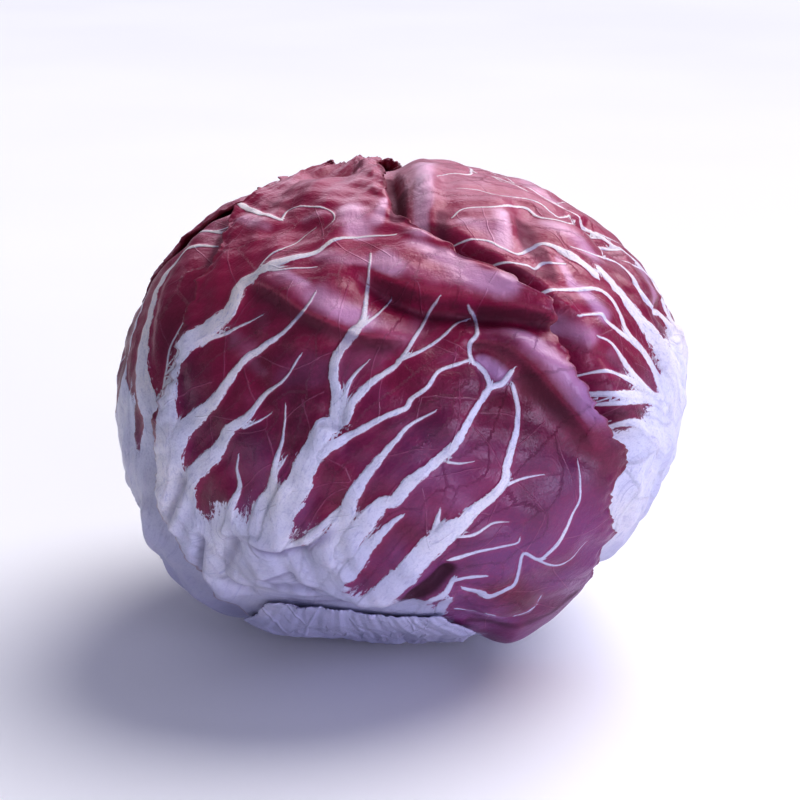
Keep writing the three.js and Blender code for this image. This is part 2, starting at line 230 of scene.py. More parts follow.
# The front leaf's two margins as the photograph shows them, in pixels, from the foot to the tip.
FRONT_RIGHT_MARGIN = [
    (545, 620), (577, 592), (594, 560), (600, 546), (612, 530), (605, 505), (608, 480), (622, 462),
    (616, 445), (597, 428), (585, 410), (575, 393), (567, 372), (560, 350), (545, 325), (539, 305),
    (510, 292), (500, 278), (478, 268), (462, 262), (445, 250), (425, 238), (405, 226), (395, 220),
    (391, 205), (386, 190), (382, 172), (377, 164),
]
FRONT_LEFT_MARGIN = [
    (236, 612), (196, 560), (168, 510), (160, 460), (162, 420), (175, 380), (190, 330), (205, 290),
    (222, 258), (236, 222), (262, 200),
]

# What the photograph doesn't show of the two margins: share of the length, and share of the half width.
FRONT_RIGHT_UNSEEN = [(0, 0.4), (1, -0.12)]
FRONT_LEFT_UNSEEN = [(0, 0.3), (0.14, 0.62), (0.96, 0.55), (1, 0.4)]

# Ribs of the front leaf in pixels of the photograph, from the foot outwards, with the half widths in
# millimetres at even steps along each. The right and left leaves' ribs follow in the same way.
FRONT_RIBS = [
    ([(170, 545), (168, 500), (176, 456), (175, 380), (190, 350), (215, 329), (234, 312), (247, 285),
      (272, 268), (293, 260), (316, 253), (343, 240), (395, 238)],
      (4.0, 3.4, 3.0, 2.4, 1.7, 1.4, 0.7, 0.3)),
    ([(205, 345), (215, 339), (245, 327), (264, 316)], (0.7, 0.4, 0.15)),
    ([(262, 272), (280, 271), (316, 267)], (0.5, 0.3, 0.15)),
    ([(256, 276), (270, 259), (291, 247), (316, 230)], (0.45, 0.3, 0.15)),
    ([(228, 212), (245, 212), (262, 217), (282, 222)], (0.8, 0.9, 0.9, 0.5)),
    ([(282, 222), (292, 211), (310, 209), (330, 212), (335, 220), (326, 230)], (0.35, 0.25, 0.15)),
    ([(182, 520), (180, 480), (186, 435), (199, 418), (219, 400), (234, 375), (247, 360), (266, 348),
      (284, 333), (303, 314), (316, 293)], (3.2, 2.9, 2.3, 1.2, 0.9, 0.7, 0.4, 0.2)),
    ([(196, 520), (192, 487), (207, 464), (219, 451), (232, 430), (249, 418), (265, 395), (284, 382),
      (302, 355)], (2.8, 2.4, 2.0, 1.6, 0.8, 0.4, 0.2)),
    ([(246, 427), (258, 422), (272, 413)], (0.4, 0.25, 0.12)),
    ([(230, 530), (236, 505), (242, 486), (238, 470), (240, 455)], (1.6, 0.9, 0.5, 0.2)),
    ([(262, 530), (266, 502), (274, 487), (278, 460), (284, 437), (287, 405)],
      (2.8, 1.8, 1.3, 0.7, 0.35, 0.15)),
    ([(276, 474), (284, 462), (288, 455)], (0.5, 0.3, 0.12)),
    ([(268, 545), (284, 510), (299, 485), (307, 466), (318, 443), (325, 428)], (4.4, 3.6, 3.1, 2.8, 2.6)),
    ([(334, 428), (337, 395), (335, 365), (349, 339), (362, 324), (366, 308), (368, 289), (371, 255)],
      (1.4, 1.35, 1.2, 1.0, 0.6, 0.4, 0.2)),
    ([(364, 325), (377, 316), (391, 301)], (0.5, 0.3, 0.2)),
    ([(342, 423), (347, 391), (356, 374), (369, 361)], (0.9, 0.6, 0.4, 0.15)),
    ([(346, 420), (352, 405), (363, 391), (375, 380), (389, 371), (400, 361), (421, 328), (430, 311),
      (438, 300)], (1.2, 1.0, 0.8, 0.55, 0.4, 0.25)),
    ([(398, 361), (418, 353), (441, 338), (455, 325), (466, 321)], (0.5, 0.35, 0.3)),
    ([(312, 460), (335, 444), (349, 436), (366, 427), (386, 416), (406, 408), (411, 399), (427, 387),
      (439, 371), (459, 364), (468, 361)], (1.6, 1.0, 0.7, 0.6, 0.5, 0.4, 0.35)),
    ([(325, 550), (336, 535), (344, 519), (352, 498), (362, 481), (375, 464), (392, 444), (410, 425),
      (435, 411)], (3.0, 2.3, 1.9, 1.3, 0.9, 0.5, 0.15)),
    ([(288, 548), (310, 534), (330, 518), (350, 500)], (0.9, 0.8, 0.8, 0.5)),
    ([(345, 545), (365, 521), (383, 502), (394, 500), (408, 483), (417, 475), (436, 461), (455, 443),
      (468, 421), (481, 399), (489, 388), (500, 384), (510, 372)],
      (3.0, 2.1, 1.5, 1.6, 1.3, 1.1, 0.9, 0.8, 0.8, 0.6)),
    ([(489, 388), (483, 373), (470, 360), (469, 345), (476, 335), (475, 321), (468, 308)],
      (0.75, 0.7, 0.6, 0.5, 0.4, 0.25)),
    ([(350, 570), (368, 545), (385, 528), (402, 515)], (2.2, 1.6, 1.0, 0.4)),
    ([(370, 600), (390, 585), (405, 572), (421, 553), (443, 533), (458, 523), (472, 511), (490, 496),
      (503, 479), (506, 462), (513, 438), (516, 421), (516, 404), (511, 386)],
      (3.2, 3.2, 3.1, 3.0, 2.0, 1.4, 1.3, 1.1, 0.8, 0.7, 0.55)),
    ([(432, 545), (436, 525), (440, 508)], (1.6, 0.9, 0.15)),
    ([(462, 586), (476, 590), (488, 596), (502, 588), (513, 582), (517, 570), (523, 553), (537, 558),
      (547, 551), (558, 539), (568, 521), (576, 502), (577, 480), (576, 460)],
      (0.4, 1.1, 0.9, 0.45, 0.4, 0.6, 0.5, 0.3, 0.15)),
    ([(533, 557), (553, 564), (568, 558), (584, 541)], (0.35, 0.3, 0.15)),
    ([(450, 558), (482, 549), (515, 543), (519, 537)], (0.6, 0.3, 0.2)),
    ([(452, 535), (472, 533), (492, 523), (507, 521)], (0.5, 0.3, 0.12)),
    ([(504, 484), (523, 478), (543, 474)], (0.5, 0.25, 0.12)),
    ([(447, 462), (458, 463), (472, 461)], (0.35, 0.25, 0.12)),
    ([(452, 580), (470, 576), (485, 574)], (0.5, 0.5, 0.3)),
    ([(370, 622), (400, 612), (427, 600), (441, 592), (449, 584), (453, 578)], (1.8, 1.4, 1.2, 0.8, 0.5)),
    ([(440, 618), (446, 606), (448, 596)], (1.2, 1.9, 1.0)),
    ([(458, 614), (482, 613), (507, 615), (521, 613), (533, 605), (539, 594)], (0.45, 0.35, 0.3)),
]

# Where the front leaf's white foot gives way to red, from left to right.
FRONT_FOOT_LINE = [
    (150, 420), (176, 455), (188, 470), (196, 500), (206, 516), (226, 500), (236, 504), (248, 512),
    (256, 502), (268, 498), (284, 490), (290, 520), (300, 540), (318, 522), (330, 532), (345, 520),
    (352, 540), (362, 552), (350, 580), (372, 590), (400, 600), (430, 604), (445, 620), (462, 634),
    (520, 650),
]

RIGHT_RIBS = [
    ([(592, 276), (578, 263), (564, 254), (549, 246), (539, 245), (527, 252), (515, 257), (500, 250),
      (488, 243), (468, 240), (441, 240)], (1.4, 1.2, 0.7, 0.55, 0.45, 0.4, 0.3, 0.15)),
    ([(676, 400), (666, 364), (645, 334), (620, 298), (597, 272)], (3.0, 2.4, 1.8, 1.5)),
    ([(660, 395), (655, 379), (643, 356), (625, 330), (613, 305), (596, 291), (576, 290), (547, 291),
      (514, 293)], (1.4, 1.0, 0.8, 0.6, 0.5, 0.2)),
    ([(664, 400), (660, 387), (651, 366), (633, 344), (605, 322), (600, 315), (579, 316)],
      (1.6, 1.1, 0.8, 0.5, 0.25)),
    ([(662, 410), (641, 387), (625, 365), (611, 344), (596, 337)], (1.6, 1.0, 0.5, 0.2)),
    ([(640, 388), (623, 378), (604, 371), (583, 376)], (1.2, 0.7, 0.4, 0.2)),
    ([(574, 222), (568, 227), (553, 222), (535, 218), (525, 210), (506, 207), (486, 210), (462, 212),
      (452, 219)], (0.35, 0.4, 0.45, 0.4, 0.2)),
    ([(568, 217), (556, 220), (543, 210), (527, 203), (500, 196), (478, 191), (456, 191)],
      (0.35, 0.4, 0.3, 0.15)),
    ([(470, 170), (470, 177), (452, 177), (437, 179)], (0.4, 0.4, 0.2)),
    ([(564, 264), (543, 264), (533, 271), (526, 268), (515, 266), (494, 262), (474, 261)],
      (0.35, 0.4, 0.45, 0.3, 0.15)),
    ([(672, 340), (662, 322), (641, 300), (626, 275), (611, 262), (590, 256), (570, 248)],
      (1.4, 1.0, 0.8, 0.5, 0.35, 0.2)),
    ([(676, 330), (660, 300), (640, 270), (622, 262)], (1.0, 0.8, 0.5, 0.3)),
    ([(656, 400), (635, 396), (611, 394), (576, 393)], (1.8, 1.4, 0.7, 0.4)),
    ([(640, 400), (612, 404), (585, 412)], (0.9, 0.5, 0.25)),
    ([(662, 446), (640, 430), (626, 422), (612, 432)], (2.4, 1.2, 1.0, 0.5)),
]

# Where the right leaf's white gives way to red, with the red on its upper left.
RIGHT_FOOT_LINE = [
    (560, 470), (596, 444), (612, 432), (622, 428), (636, 418), (646, 404), (658, 390), (656, 366),
    (654, 350), (662, 336), (672, 326),
]

LEFT_RIBS = [
    ([(158, 540), (152, 470), (148, 400), (146, 360), (148, 335), (153, 316), (158, 297), (166, 281),
      (174, 268), (187, 254), (199, 247), (214, 243)], (4.0, 3.4, 2.7, 2.2, 1.8, 1.5, 1.2, 0.8, 0.3)),
    ([(160, 420), (163, 385), (174, 348), (181, 328), (193, 309), (202, 288), (212, 275), (225, 266),
      (240, 249)], (0.7, 0.5, 0.3, 0.2)),
    ([(158, 430), (167, 370), (176, 353), (186, 335), (199, 319), (212, 299), (225, 281)],
      (0.6, 0.4, 0.15)),
    ([(152, 440), (157, 399), (162, 373), (167, 348), (174, 332), (181, 317)], (0.5, 0.3, 0.15)),
    ([(134, 480), (131, 420), (129, 380), (136, 340), (146, 305), (160, 270)], (2.4, 2.0, 1.2, 0.8, 0.4)),
]

# Each leaf, from the innermost to the outermost: azimuth of its midrib, angles up from the stem of its foot
# and tip, half widths in degrees, the seed of its waves, rows and columns of its outer grid, and how many
# degrees its white foot reaches.
LEAVES = [
    dict(name="inner_leaf_1", azimuth=-140, foot=15, tip=176, left=46, right=46, seed=1.7, grid=(110, 80),
         white=30),
    dict(name="inner_leaf_2", azimuth=20, foot=15, tip=172, left=46, right=46, seed=2.9, grid=(110, 80),
         white=30),
    dict(name="inner_leaf_3", azimuth=118, foot=15, tip=178, left=48, right=48, seed=4.3, grid=(110, 80),
         white=30),
    dict(name="inner_leaf_4", azimuth=-58, foot=15, tip=174, left=46, right=46, seed=5.1, grid=(110, 80),
         white=30),
    dict(name="back_leaf", azimuth=176, foot=14, tip=182, left=54, right=56, seed=6.4, grid=(150, 110),
         white=40),
    dict(name="left_leaf", azimuth=-92, foot=14, tip=176, left=52, right=54, seed=7.2, grid=(200, 150),
         white=84),
    dict(name="back_right_leaf", azimuth=136, foot=14, tip=172, left=48, right=50, seed=8.8,
         grid=(180, 130), white=40),
    dict(name="right_leaf", azimuth=78, foot=14, tip=188, left=60, right=46, seed=9.5, grid=(260, 190),
         white=46, left_outline=RIGHT_LEFT_EDGE),
    dict(name="back_left_leaf", azimuth=-138, foot=14, tip=161, left=52, right=41, seed=10.6,
         grid=(230, 160), white=44, lift=0.2),
    dict(name="front_leaf", azimuth=-5, foot=14, tip=190, left=48, right=53, seed=11.3, grid=(290, 200),
         white=40),
    dict(name="base_leaf_back", azimuth=162, foot=14, tip=64, left=40, right=36, seed=12.9,
         grid=(110, 150), white=60, lift=0.15, left_outline=SHORT_OUTLINE, right_outline=SHORT_OUTLINE),
    dict(name="base_leaf_front", azimuth=-10, foot=14, tip=58, left=27, right=23, seed=13.7,
         grid=(110, 150), white=60, lift=0.0, left_outline=SHORT_OUTLINE, right_outline=SHORT_OUTLINE),
]
FRONT_NUMBER = [leaf["name"] for leaf in LEAVES].index("front_leaf")

# A leaf's margin: its waves, teeth and ruffles, its lift and, on short leaves, its tuck, and how much
# thinner the blade is there. Short leaves are calmer.
EDGE_WAVE = 2.2
FRONT_EDGE_WAVE = 0.5
EDGE_LIFT = 0.9
FRONT_EDGE_LIFT = 1.9
EDGE_LIFT_REACH = 7
EDGE_TUCK = 0.85
TOOTH_DEPTH = 0.9
TIP_TOOTH_DEPTH = 1.3
TOOTH_REACH = 2.0
RUFFLE = 0.5
RUFFLE_REACH = 3.0
EDGE_THINNING = 0.35
SHORT_EDGE_THINNING = 0.65
EDGE_THIN_REACH = 2.5
SHORT_RAGGEDNESS = 0.25
SHORT_SWELL = 0.4
FOOT_RING_POWER = 8
INNER_STEP = 2
RIM_BULGE = 0.3

# The white foot: how far it runs up the broad midrib and how wide, in degrees, and the wave of its end. The
# right leaf's drawn foot line holds near the direction given.
MIDRIB_WHITE = 34
MIDRIB_SPREAD = 13
FOOT_LINE_WAVE = 8
RIGHT_FOOT_PLACE = (66, 88)

# Ribs. Those that aren't drawn fan out along even lines of the leaf's width, but not where the drawn ones
# are: nearer to a side's place than the cosine given.
FANS_A_SIDE = 3
FAN_SPACING = 0.286
FAN_WAVE = 0.08
FAN_WIDTH = 3.0
FAN_TIP_WIDTH = 0.25
FAN_POINTS = 32
RIGHT_DRAWN_PLACE = (60, 95)
LEFT_DRAWN_PLACE = (-65, 95)
DRAWN_NEARNESS = 0.93
RIB_SLIM = 0.83
RIB_RELIEF = 0.42
RIB_RELIEF_MOST = 1.5
PUCKER = 0.8
PUCKER_REACH = 4.0
UNDULATION = 0.6
FOOT_PLEAT = 0.8

# The heart is a tight bud of small leaves, whose edges show as a spiral of low steps, with a socket for the
# stem.
HEART_LEAVES = 5
HEART_STEP = 1.6
HEART_CLEARANCE = 2.5
HEART_RIB_WIDTH = 0.8
SOCKET_DEPTH = 24
SOCKET_ANGLE = 24
SOCKET_SOFTNESS = 14

# The lights. The window is for sheen only.
KEY_LIGHT = dict(place=(0.5, 0.35, 0.9), power=2.6, colour=(1.0, 0.98, 0.99), angle=math.radians(50))
WINDOW_LIGHT = dict(place=(0.14, 0.80, 0.62), power=5.6, colour=(0.98, 0.84, 1.0), shape="RECTANGLE",
                    size=1.2, size_y=0.6, sheen_only=True)
SIDE_LIGHT = dict(place=(0.62, -0.70, 0.20), power=4.2, colour=(0.76, 0.74, 1.0), shape="RECTANGLE",
                  size=0.5, size_y=0.36)
ROOM_COLOUR = (0.76, 0.78, 1.0, 1)
ROOM_LIGHT = 0.30
FLOOR_REACH = 6.0


def smooth(t):
    """A soft step: 3t^2 - 2t^3 with t held between 0 and 1."""
    t = np.clip(t, 0.0, 1.0)
    return t * t * (3 - 2 * t)


def along(rows, place):
    """The straight-line curve through rows of (place, value)."""
    places, values = zip(*rows)
    return np.interp(place, places, values)


def unit(vectors):
    """Vectors divided by their length."""
    return vectors / np.linalg.norm(vectors, axis=-1, keepdims=True)


def direction(azimuth, rise):
    """Outward directions at an azimuth (0 is the front, 90 the right) and an angle up from the stem."""
    p, a = np.radians(azimuth), np.radians(rise)
    return np.stack([np.sin(a) * np.sin(p), -np.sin(a) * np.cos(p), -np.cos(a)], axis=-1)


def from_line(d, points):
    """Signed millimetres from a line on the head, positive above a line that runs to the right, and the
    share along it: the nearest of its straight spans, by the foot of the perpendicular on each."""
    starts, ends = points[:-1], points[1:]
    spans = ends - starts
    t = (d @ spans.T - (starts * spans).sum(1)) / (spans * spans).sum(1)
    t = np.clip(t, 0, 1)
    gap2 = np.zeros_like(t)
    for axis in range(3):
        gap2 += (d[..., axis, None] - starts[:, axis] - t * spans[:, axis]) ** 2
    best = gap2.argmin(-1)
    pick = np.take_along_axis
    away = np.sqrt(pick(gap2, best[..., None], -1)[..., 0]) * MEAN_RADIUS
    side = np.where(pick(d @ np.cross(ends, starts).T, best[..., None], -1)[..., 0] > 0, -1.0, 1.0)
    share = (best + pick(t, best[..., None], -1)[..., 0]) / len(spans)
    return side * away, share


def hump(d, centre, reach):
    """A bell of height 1 round a direction: exp(-(distance / reach)^2)."""
    away = np.arccos(np.clip(d @ centre, -1, 1)) * MEAN_RADIUS
    return np.exp(-((away / reach) ** 2))


def ends_fade(share):
    """1 along the middle half of a line, easing to 0 at both ends."""
    return smooth(4 * share) * smooth(4 * (1 - share))


def within(d, points, reach):
    """The places of the directions that lie near enough to a line to feel it: those in a circle round it
    that is three reaches wider than the line."""
    centre = unit(points.mean(0))
    extent = math.acos(min((points @ centre).min(), 1.0)) + 3 * reach / MEAN_RADIUS
    return np.nonzero(d @ centre > math.cos(min(extent, math.pi)))


def envelope(d):
    """The distance from the middle of the head to its envelope: an ellipsoid raised to a power that squares
    it, plus the swellings, creases and grooves. Given for leaves that lie covered, which keep to the low
    side of each crease, and for what shows. All but the ellipsoid die away near the level underside."""
    flat = np.hypot(d[..., 0] / (HEAD_WIDTH / 2), d[..., 1] / (HEAD_DEPTH / 2))
    upper = d[..., 2] > 0
    tall = np.abs(d[..., 2]) / np.where(upper, CROWN_RISE, BASE_DROP)
    power = np.where(upper, CROWN_SQUARENESS, BASE_SQUARENESS)
    r = (flat ** power + tall ** power) ** (-1 / power)
    rise = np.degrees(np.arccos(np.clip(-d[..., 2], -1, 1)))
    free = smooth((rise - UNDERSIDE_ANGLE) / UNDERSIDE_ANGLE)
    for centre, height, reach in swellings:
        r = r + free * height * hump(d, centre, reach)
    covered, shown = np.zeros_like(r), np.zeros_like(r)
    for points, step, softness, reach in creases:
        at = within(d, points, reach)
        away, share = from_line(d[at], points)
        swell = 0.5 * step * np.exp(-((away / reach) ** 2)) * ends_fade(share)
        covered[at] -= swell
        shown[at] += swell * np.tanh(away / softness)
    for points, depth, width in grooves:
        broad = 1.6 * width
        at = within(d, points, broad)
        away, share = from_line(d[at], points)
        fade = ends_fade(share)
        covered[at] -= max(depth, 0) * fade * np.minimum(1.35 * np.exp(-((away / broad) ** 2)), 1)
        shown[at] -= depth * fade * np.exp(-((away / width) ** 2))
    return r + free * covered, r + free * shown


def through(points, spans=5):
    """A smooth curve through points: Catmull-Rom cubics, each span cut into equal shares."""
    p = np.array(points, float)
    p = np.vstack([2 * p[0] - p[1], p, 2 * p[-1] - p[-2]])
    t = (np.arange(spans) / spans)[None, :, None]
    a, b, c, e = (p[i : len(p) - 3 + i, None, :] for i in range(4))
    curve = 0.5 * (2 * b + (c - a) * t + (2 * a - 5 * b + 4 * c - e) * t**2 + (3 * b - a - 3 * c + e) * t**3)
    return np.vstack([curve.reshape(-1, p.shape[1]), p[-2]])


def camera_axes():
    """The camera's place and its right, up and forward directions, from its rise over the level."""
    rise = math.radians(CAMERA_RISE)
    back = np.array([0.0, -math.cos(rise), math.sin(rise)])
    eye = np.array(CAMERA_TARGET) + CAMERA_DISTANCE * back
    return eye, np.array([1.0, 0.0, 0.0]), np.array([0.0, math.sin(rise), math.cos(rise)]), -back


def on_head(pixels):
    """Directions from the head's middle to where pixels of the photograph fall on its envelope: each pixel's
    ray is halved between a point outside the head and its nearest point to the middle."""
    eye, right, up, forward = camera_axes()
    focal = LENS / SENSOR * IMAGE_SIDE
    across = (pixels[:, 0] - IMAGE_SIDE / 2) / focal
    upward = (IMAGE_SIDE / 2 - pixels[:, 1]) / focal
    ray = unit(forward + across[:, None] * right + upward[:, None] * up)
    start = eye - np.array([0.0, 0.0, CENTRE_HEIGHT])
    inner = -(ray @ start)
    outer = inner - 1.4 * MEAN_RADIUS
    for _ in range(RAY_HALVINGS):
        middle = (inner + outer) / 2
        place = start + middle[:, None] * ray
        reach = np.linalg.norm(place, axis=1)
        inside = reach < envelope(place / reach[:, None])[1]
        inner = np.where(inside, middle, inner)
        outer = np.where(inside, outer, middle)
    return unit(start + inner[:, None] * ray)


def ripple(seed, x, y):
    """Smooth noise between -1 and 1: three sine waves whose phases follow the seed."""
    return (
        0.5 * np.sin(2.1 * x + 1.3 * y + 5.1 * seed)
        + 0.3 * np.sin(4.7 * x - 2.2 * y + 9.7 * seed)
        + 0.2 * np.sin(8.3 * x + 3.1 * y + 3.3 * seed)
    )


def leaf_angles(leaf, d):
    """A leaf's own angles at a direction: a runs from the stem up its midrib, b to its right."""
    p = math.radians(leaf["azimuth"])
    right = d[..., 0] * math.cos(p) + d[..., 1] * math.sin(p)
    out = d[..., 0] * math.sin(p) - d[..., 1] * math.cos(p)
    a = np.degrees(np.arctan2(out, -d[..., 2]))
    return np.where(a < -90, a + 360, a), np.degrees(np.arcsin(np.clip(right, -1, 1)))


def leaf_direction(leaf, a, b):
    """The direction at a leaf's own angles."""
    p, a, b = math.radians(leaf["azimuth"]), np.radians(a), np.radians(b)
    right, out, up = np.sin(b), np.cos(b) * np.sin(a), -np.cos(b) * np.cos(a)
    east = right * math.cos(p) + out * math.sin(p)
    north = right * math.sin(p) - out * math.cos(p)
    return np.stack([east, north, up], axis=-1)


def half_width(leaf, share, side):
    """A leaf's plain half width at a share of its length, on its right (side 1) or left (side -1)."""
    if side > 0:
        return leaf["right"] * along(leaf.get("right_outline", BLADE_OUTLINE), share)
    return leaf["left"] * along(leaf.get("left_outline", BLADE_OUTLINE), share)


def drawn_outline(leaf, pixels, side, inner_rows):
    """An outline read off the photograph: the margin's points as (share of the length, share of the half
    width), in rising order, between the rows that the photograph doesn't show."""
    a, b = leaf_angles(leaf, on_head(np.array(pixels, float)))
    share = np.maximum.accumulate((a - leaf["foot"]) / (leaf["tip"] - leaf["foot"]))
    width = side * b / (leaf["right"] if side > 0 else leaf["left"])
    shown = [(x, y) for x, y in zip(share, width) if x < 1]
    before = [row for row in inner_rows if row[0] < shown[0][0]]
    after = [row for row in inner_rows if row[0] > shown[-1][0]]
    return before + shown + after


def foot_drop(leaf, b):
    """Degrees by which a leaf's foot, which follows a ring round the stem, lies lower at its angle b than at
    its midrib: the ring keeps to cos(a) = cos(foot) / cos(b)."""
    ratio = math.cos(math.radians(leaf["foot"])) / np.cos(np.radians(b))
    return leaf["foot"] - np.degrees(np.arccos(np.clip(ratio, -1, 1)))


def past_outline(leaf, d):
    """Degrees by which a direction lies outside a leaf's outline, and 0 inside. The share of the leaf's
    length is the one whose angle, lowered towards the foot as the leaf's grid is, is the direction's."""
    a, b = leaf_angles(leaf, d)
    drop = foot_drop(leaf, b)
    length = leaf["tip"] - leaf["foot"]
    share = np.clip((a - leaf["foot"]) / length, 0, 1)
    for _ in range(4):
        share = np.clip((a + drop * (1 - share) ** FOOT_RING_POWER - leaf["foot"]) / length, 0, 1)
    beside = np.maximum(b - half_width(leaf, share, 1), -b - half_width(leaf, share, -1))
    return np.maximum.reduce([beside, a - leaf["tip"], leaf["foot"] - drop - a, np.zeros_like(a)])


def coverage(leaf, d):
    """1 where a leaf covers a direction, falling to 0 a little way outside its outline."""
    past = np.radians(past_outline(leaf, d)) * MEAN_RADIUS
    return smooth(1 - (past - DRAPE_MARGIN) / DRAPE_REACH)


def thickness(leaf, d):
    """A leaf is thickest at its foot, where its ribs run together."""
    a, _ = leaf_angles(leaf, d)
    return BLADE_THICKNESS + FOOT_THICKNESS * np.exp(-(((a - leaf["foot"]) / FOOT_THICKNESS_ANGLE) ** 2))


def room(leaf, d):
    """What a leaf takes of the depth: its thickness and the gap under it, wider at the crowded feet."""
    a, _ = leaf_angles(leaf, d)
    gap = LEAF_GAP + FOOT_GAP * np.exp(-(((a - leaf["foot"]) / FOOT_GAP_ANGLE) ** 2))
    return thickness(leaf, d) + gap


def under(first, d):
    """The surface under every leaf from number first outwards, and how free of them it is. Only what is free
    of them rises into the folds."""
    r, shown = envelope(d)
    rise = (shown - r) if first > INNER_LEAVES else 0.0
    free = np.ones_like(r)
    for leaf in LEAVES[first:]:
        cover = coverage(leaf, d)
        r = r - cover * room(leaf, d)
        free = free * (1 - cover)
    return r + free * rise, free


def placed(d, r):
    """Points in metres at distances in millimetres from the middle of the head."""
    return (d * r[..., None] + np.array([0.0, 0.0, CENTRE_HEIGHT])) * MM


def tone_mark(d):
    """How pale with painted sheen or deep with painted shade a direction is: the drawn tones, a painted
    shade along the low side of each fold with a painted highlight on the lip over it, and a painted shade in
    each groove, added up."""
    tone = np.zeros(d.shape[:-1])
    for points, width, strength in drawn_tones:
        at = within(d, points, width)
        away, _ = from_line(d[at], points)
        tone[at] += strength * np.exp(-((away / width) ** 2))
    for points, step, _, _ in drawn_creases:
        at = within(d, points, step)
        away, share = from_line(d[at], points)
        size = min(step / FULL_FOLD, 1) * ends_fade(share)
        shade = np.exp(-((away / np.where(away < 0, 0.8 * step, 0.5)) ** 2))
        shine = np.exp(-(((away - step) / (0.6 * step)) ** 2))
        tone[at] += size * (LIP_SHINE * shine - FOLD_SHADE * shade)
    for points, depth, width in drawn_grooves:
        at = within(d, points, width)
        away, share = from_line(d[at], points)
        tone[at] -= 0.5 * min(max(depth / width, 0), 1) * np.exp(-((away / width) ** 2)) * ends_fade(share)
    return np.clip(tone, -STRONGEST_TONE, STRONGEST_TONE)


# The rib network of a leaf. A rib is a row of directions on the head and a half width at each.


def drawn_ribs(rows):
    """Ribs read off the photograph: smooth curves cast on the head, with widths that taper along them."""
    ribs = []
    for pixels, widths in rows:
        points = on_head(through(pixels))
        steps = np.linspace(0, 1, len(widths))
        ribs.append((points, RIB_SLIM * np.interp(np.linspace(0, 1, len(points)), steps, widths)))
    return ribs


def fan_ribs(leaf):
    """Ribs that fan out from a leaf's foot along seven even lines of its width, waving a little."""
    ribs = []
    for k in range(-FANS_A_SIDE, FANS_A_SIDE + 1):
        u = np.linspace(0.02, 0.93 - 0.1 * abs(k), FAN_POINTS)
        v = k * FAN_SPACING + FAN_WAVE * ripple(leaf["seed"] + k, 5 * u, k) * u
        right, left = half_width(leaf, u, 1), half_width(leaf, u, -1)
        a = leaf["foot"] + (leaf["tip"] - leaf["foot"]) * u
        b = (right - left) / 2 + (right + left) / 2 * v
        width = (FAN_WIDTH - 0.4 * abs(k)) * (1 - u / u[-1]) ** 1.3 + FAN_TIP_WIDTH
        ribs.append((leaf_direction(leaf, a, b), width))
    return ribs


def segments(ribs):
    """Every straight span of the ribs: its ends, the half width at both, and the millimetres before it."""
    starts = np.vstack([points[:-1] for points, _ in ribs])
    ends = np.vstack([points[1:] for points, _ in ribs])
    width_0 = np.concatenate([width[:-1] for _, width in ribs])
    width_1 = np.concatenate([width[1:] for _, width in ribs])
    before = []
    for number, (points, _) in enumerate(ribs):
        lengths = np.linalg.norm(np.diff(points, axis=0), axis=1) * MEAN_RADIUS
        before.append(np.concatenate([[0], np.cumsum(lengths)[:-1]]) + 37.0 * number)
    return starts, ends, width_0, width_1, np.concatenate(before)


def nearest_rib(d, spans, batch=3000):
    """For each direction, the rib span whose edge is nearest: signed distance from its centre line, its half
    width there, the distance from its edge, and the millimetres along it."""
    starts, ends, width_0, width_1, before = spans
    across = ends - starts
    length2 = (across * across).sum(1)
    offset = (starts * across).sum(1)
    normals = np.cross(ends, starts)
    flat = d.reshape(-1, 3)
    found = np.empty((4, len(flat)))
    for low in range(0, len(flat), batch):
        part = flat[low : low + batch]
        raw = part @ across.T - offset
        t = np.clip(raw / length2, 0, 1)
        start2 = (part * part).sum(1)[:, None] - 2 * part @ starts.T + (starts * starts).sum(1)
        away = np.sqrt(np.maximum(start2 - 2 * t * raw + t * t * length2, 0)) * MEAN_RADIUS
        width = width_0 + (width_1 - width_0) * t
        best = (away - width).argmin(1)[:, None]
        away, width, t = (np.take_along_axis(x, best, 1)[:, 0] for x in (away, width, t))
        best = best[:, 0]
        side = np.where((part * normals[best]).sum(1) > 0, -1.0, 1.0)
        reach = before[best] + t * np.sqrt(length2[best]) * MEAN_RADIUS
        found[:, low : low + batch] = side * away, width, away - width, reach
    return found.reshape((4,) + d.shape[:-1])


def points_along(points, reach, starts):
    """The places at the given lengths along a line whose points lie at the lengths in reach."""
    return np.stack([np.interp(starts, reach, points[:, axis]) for axis in range(3)], axis=1)


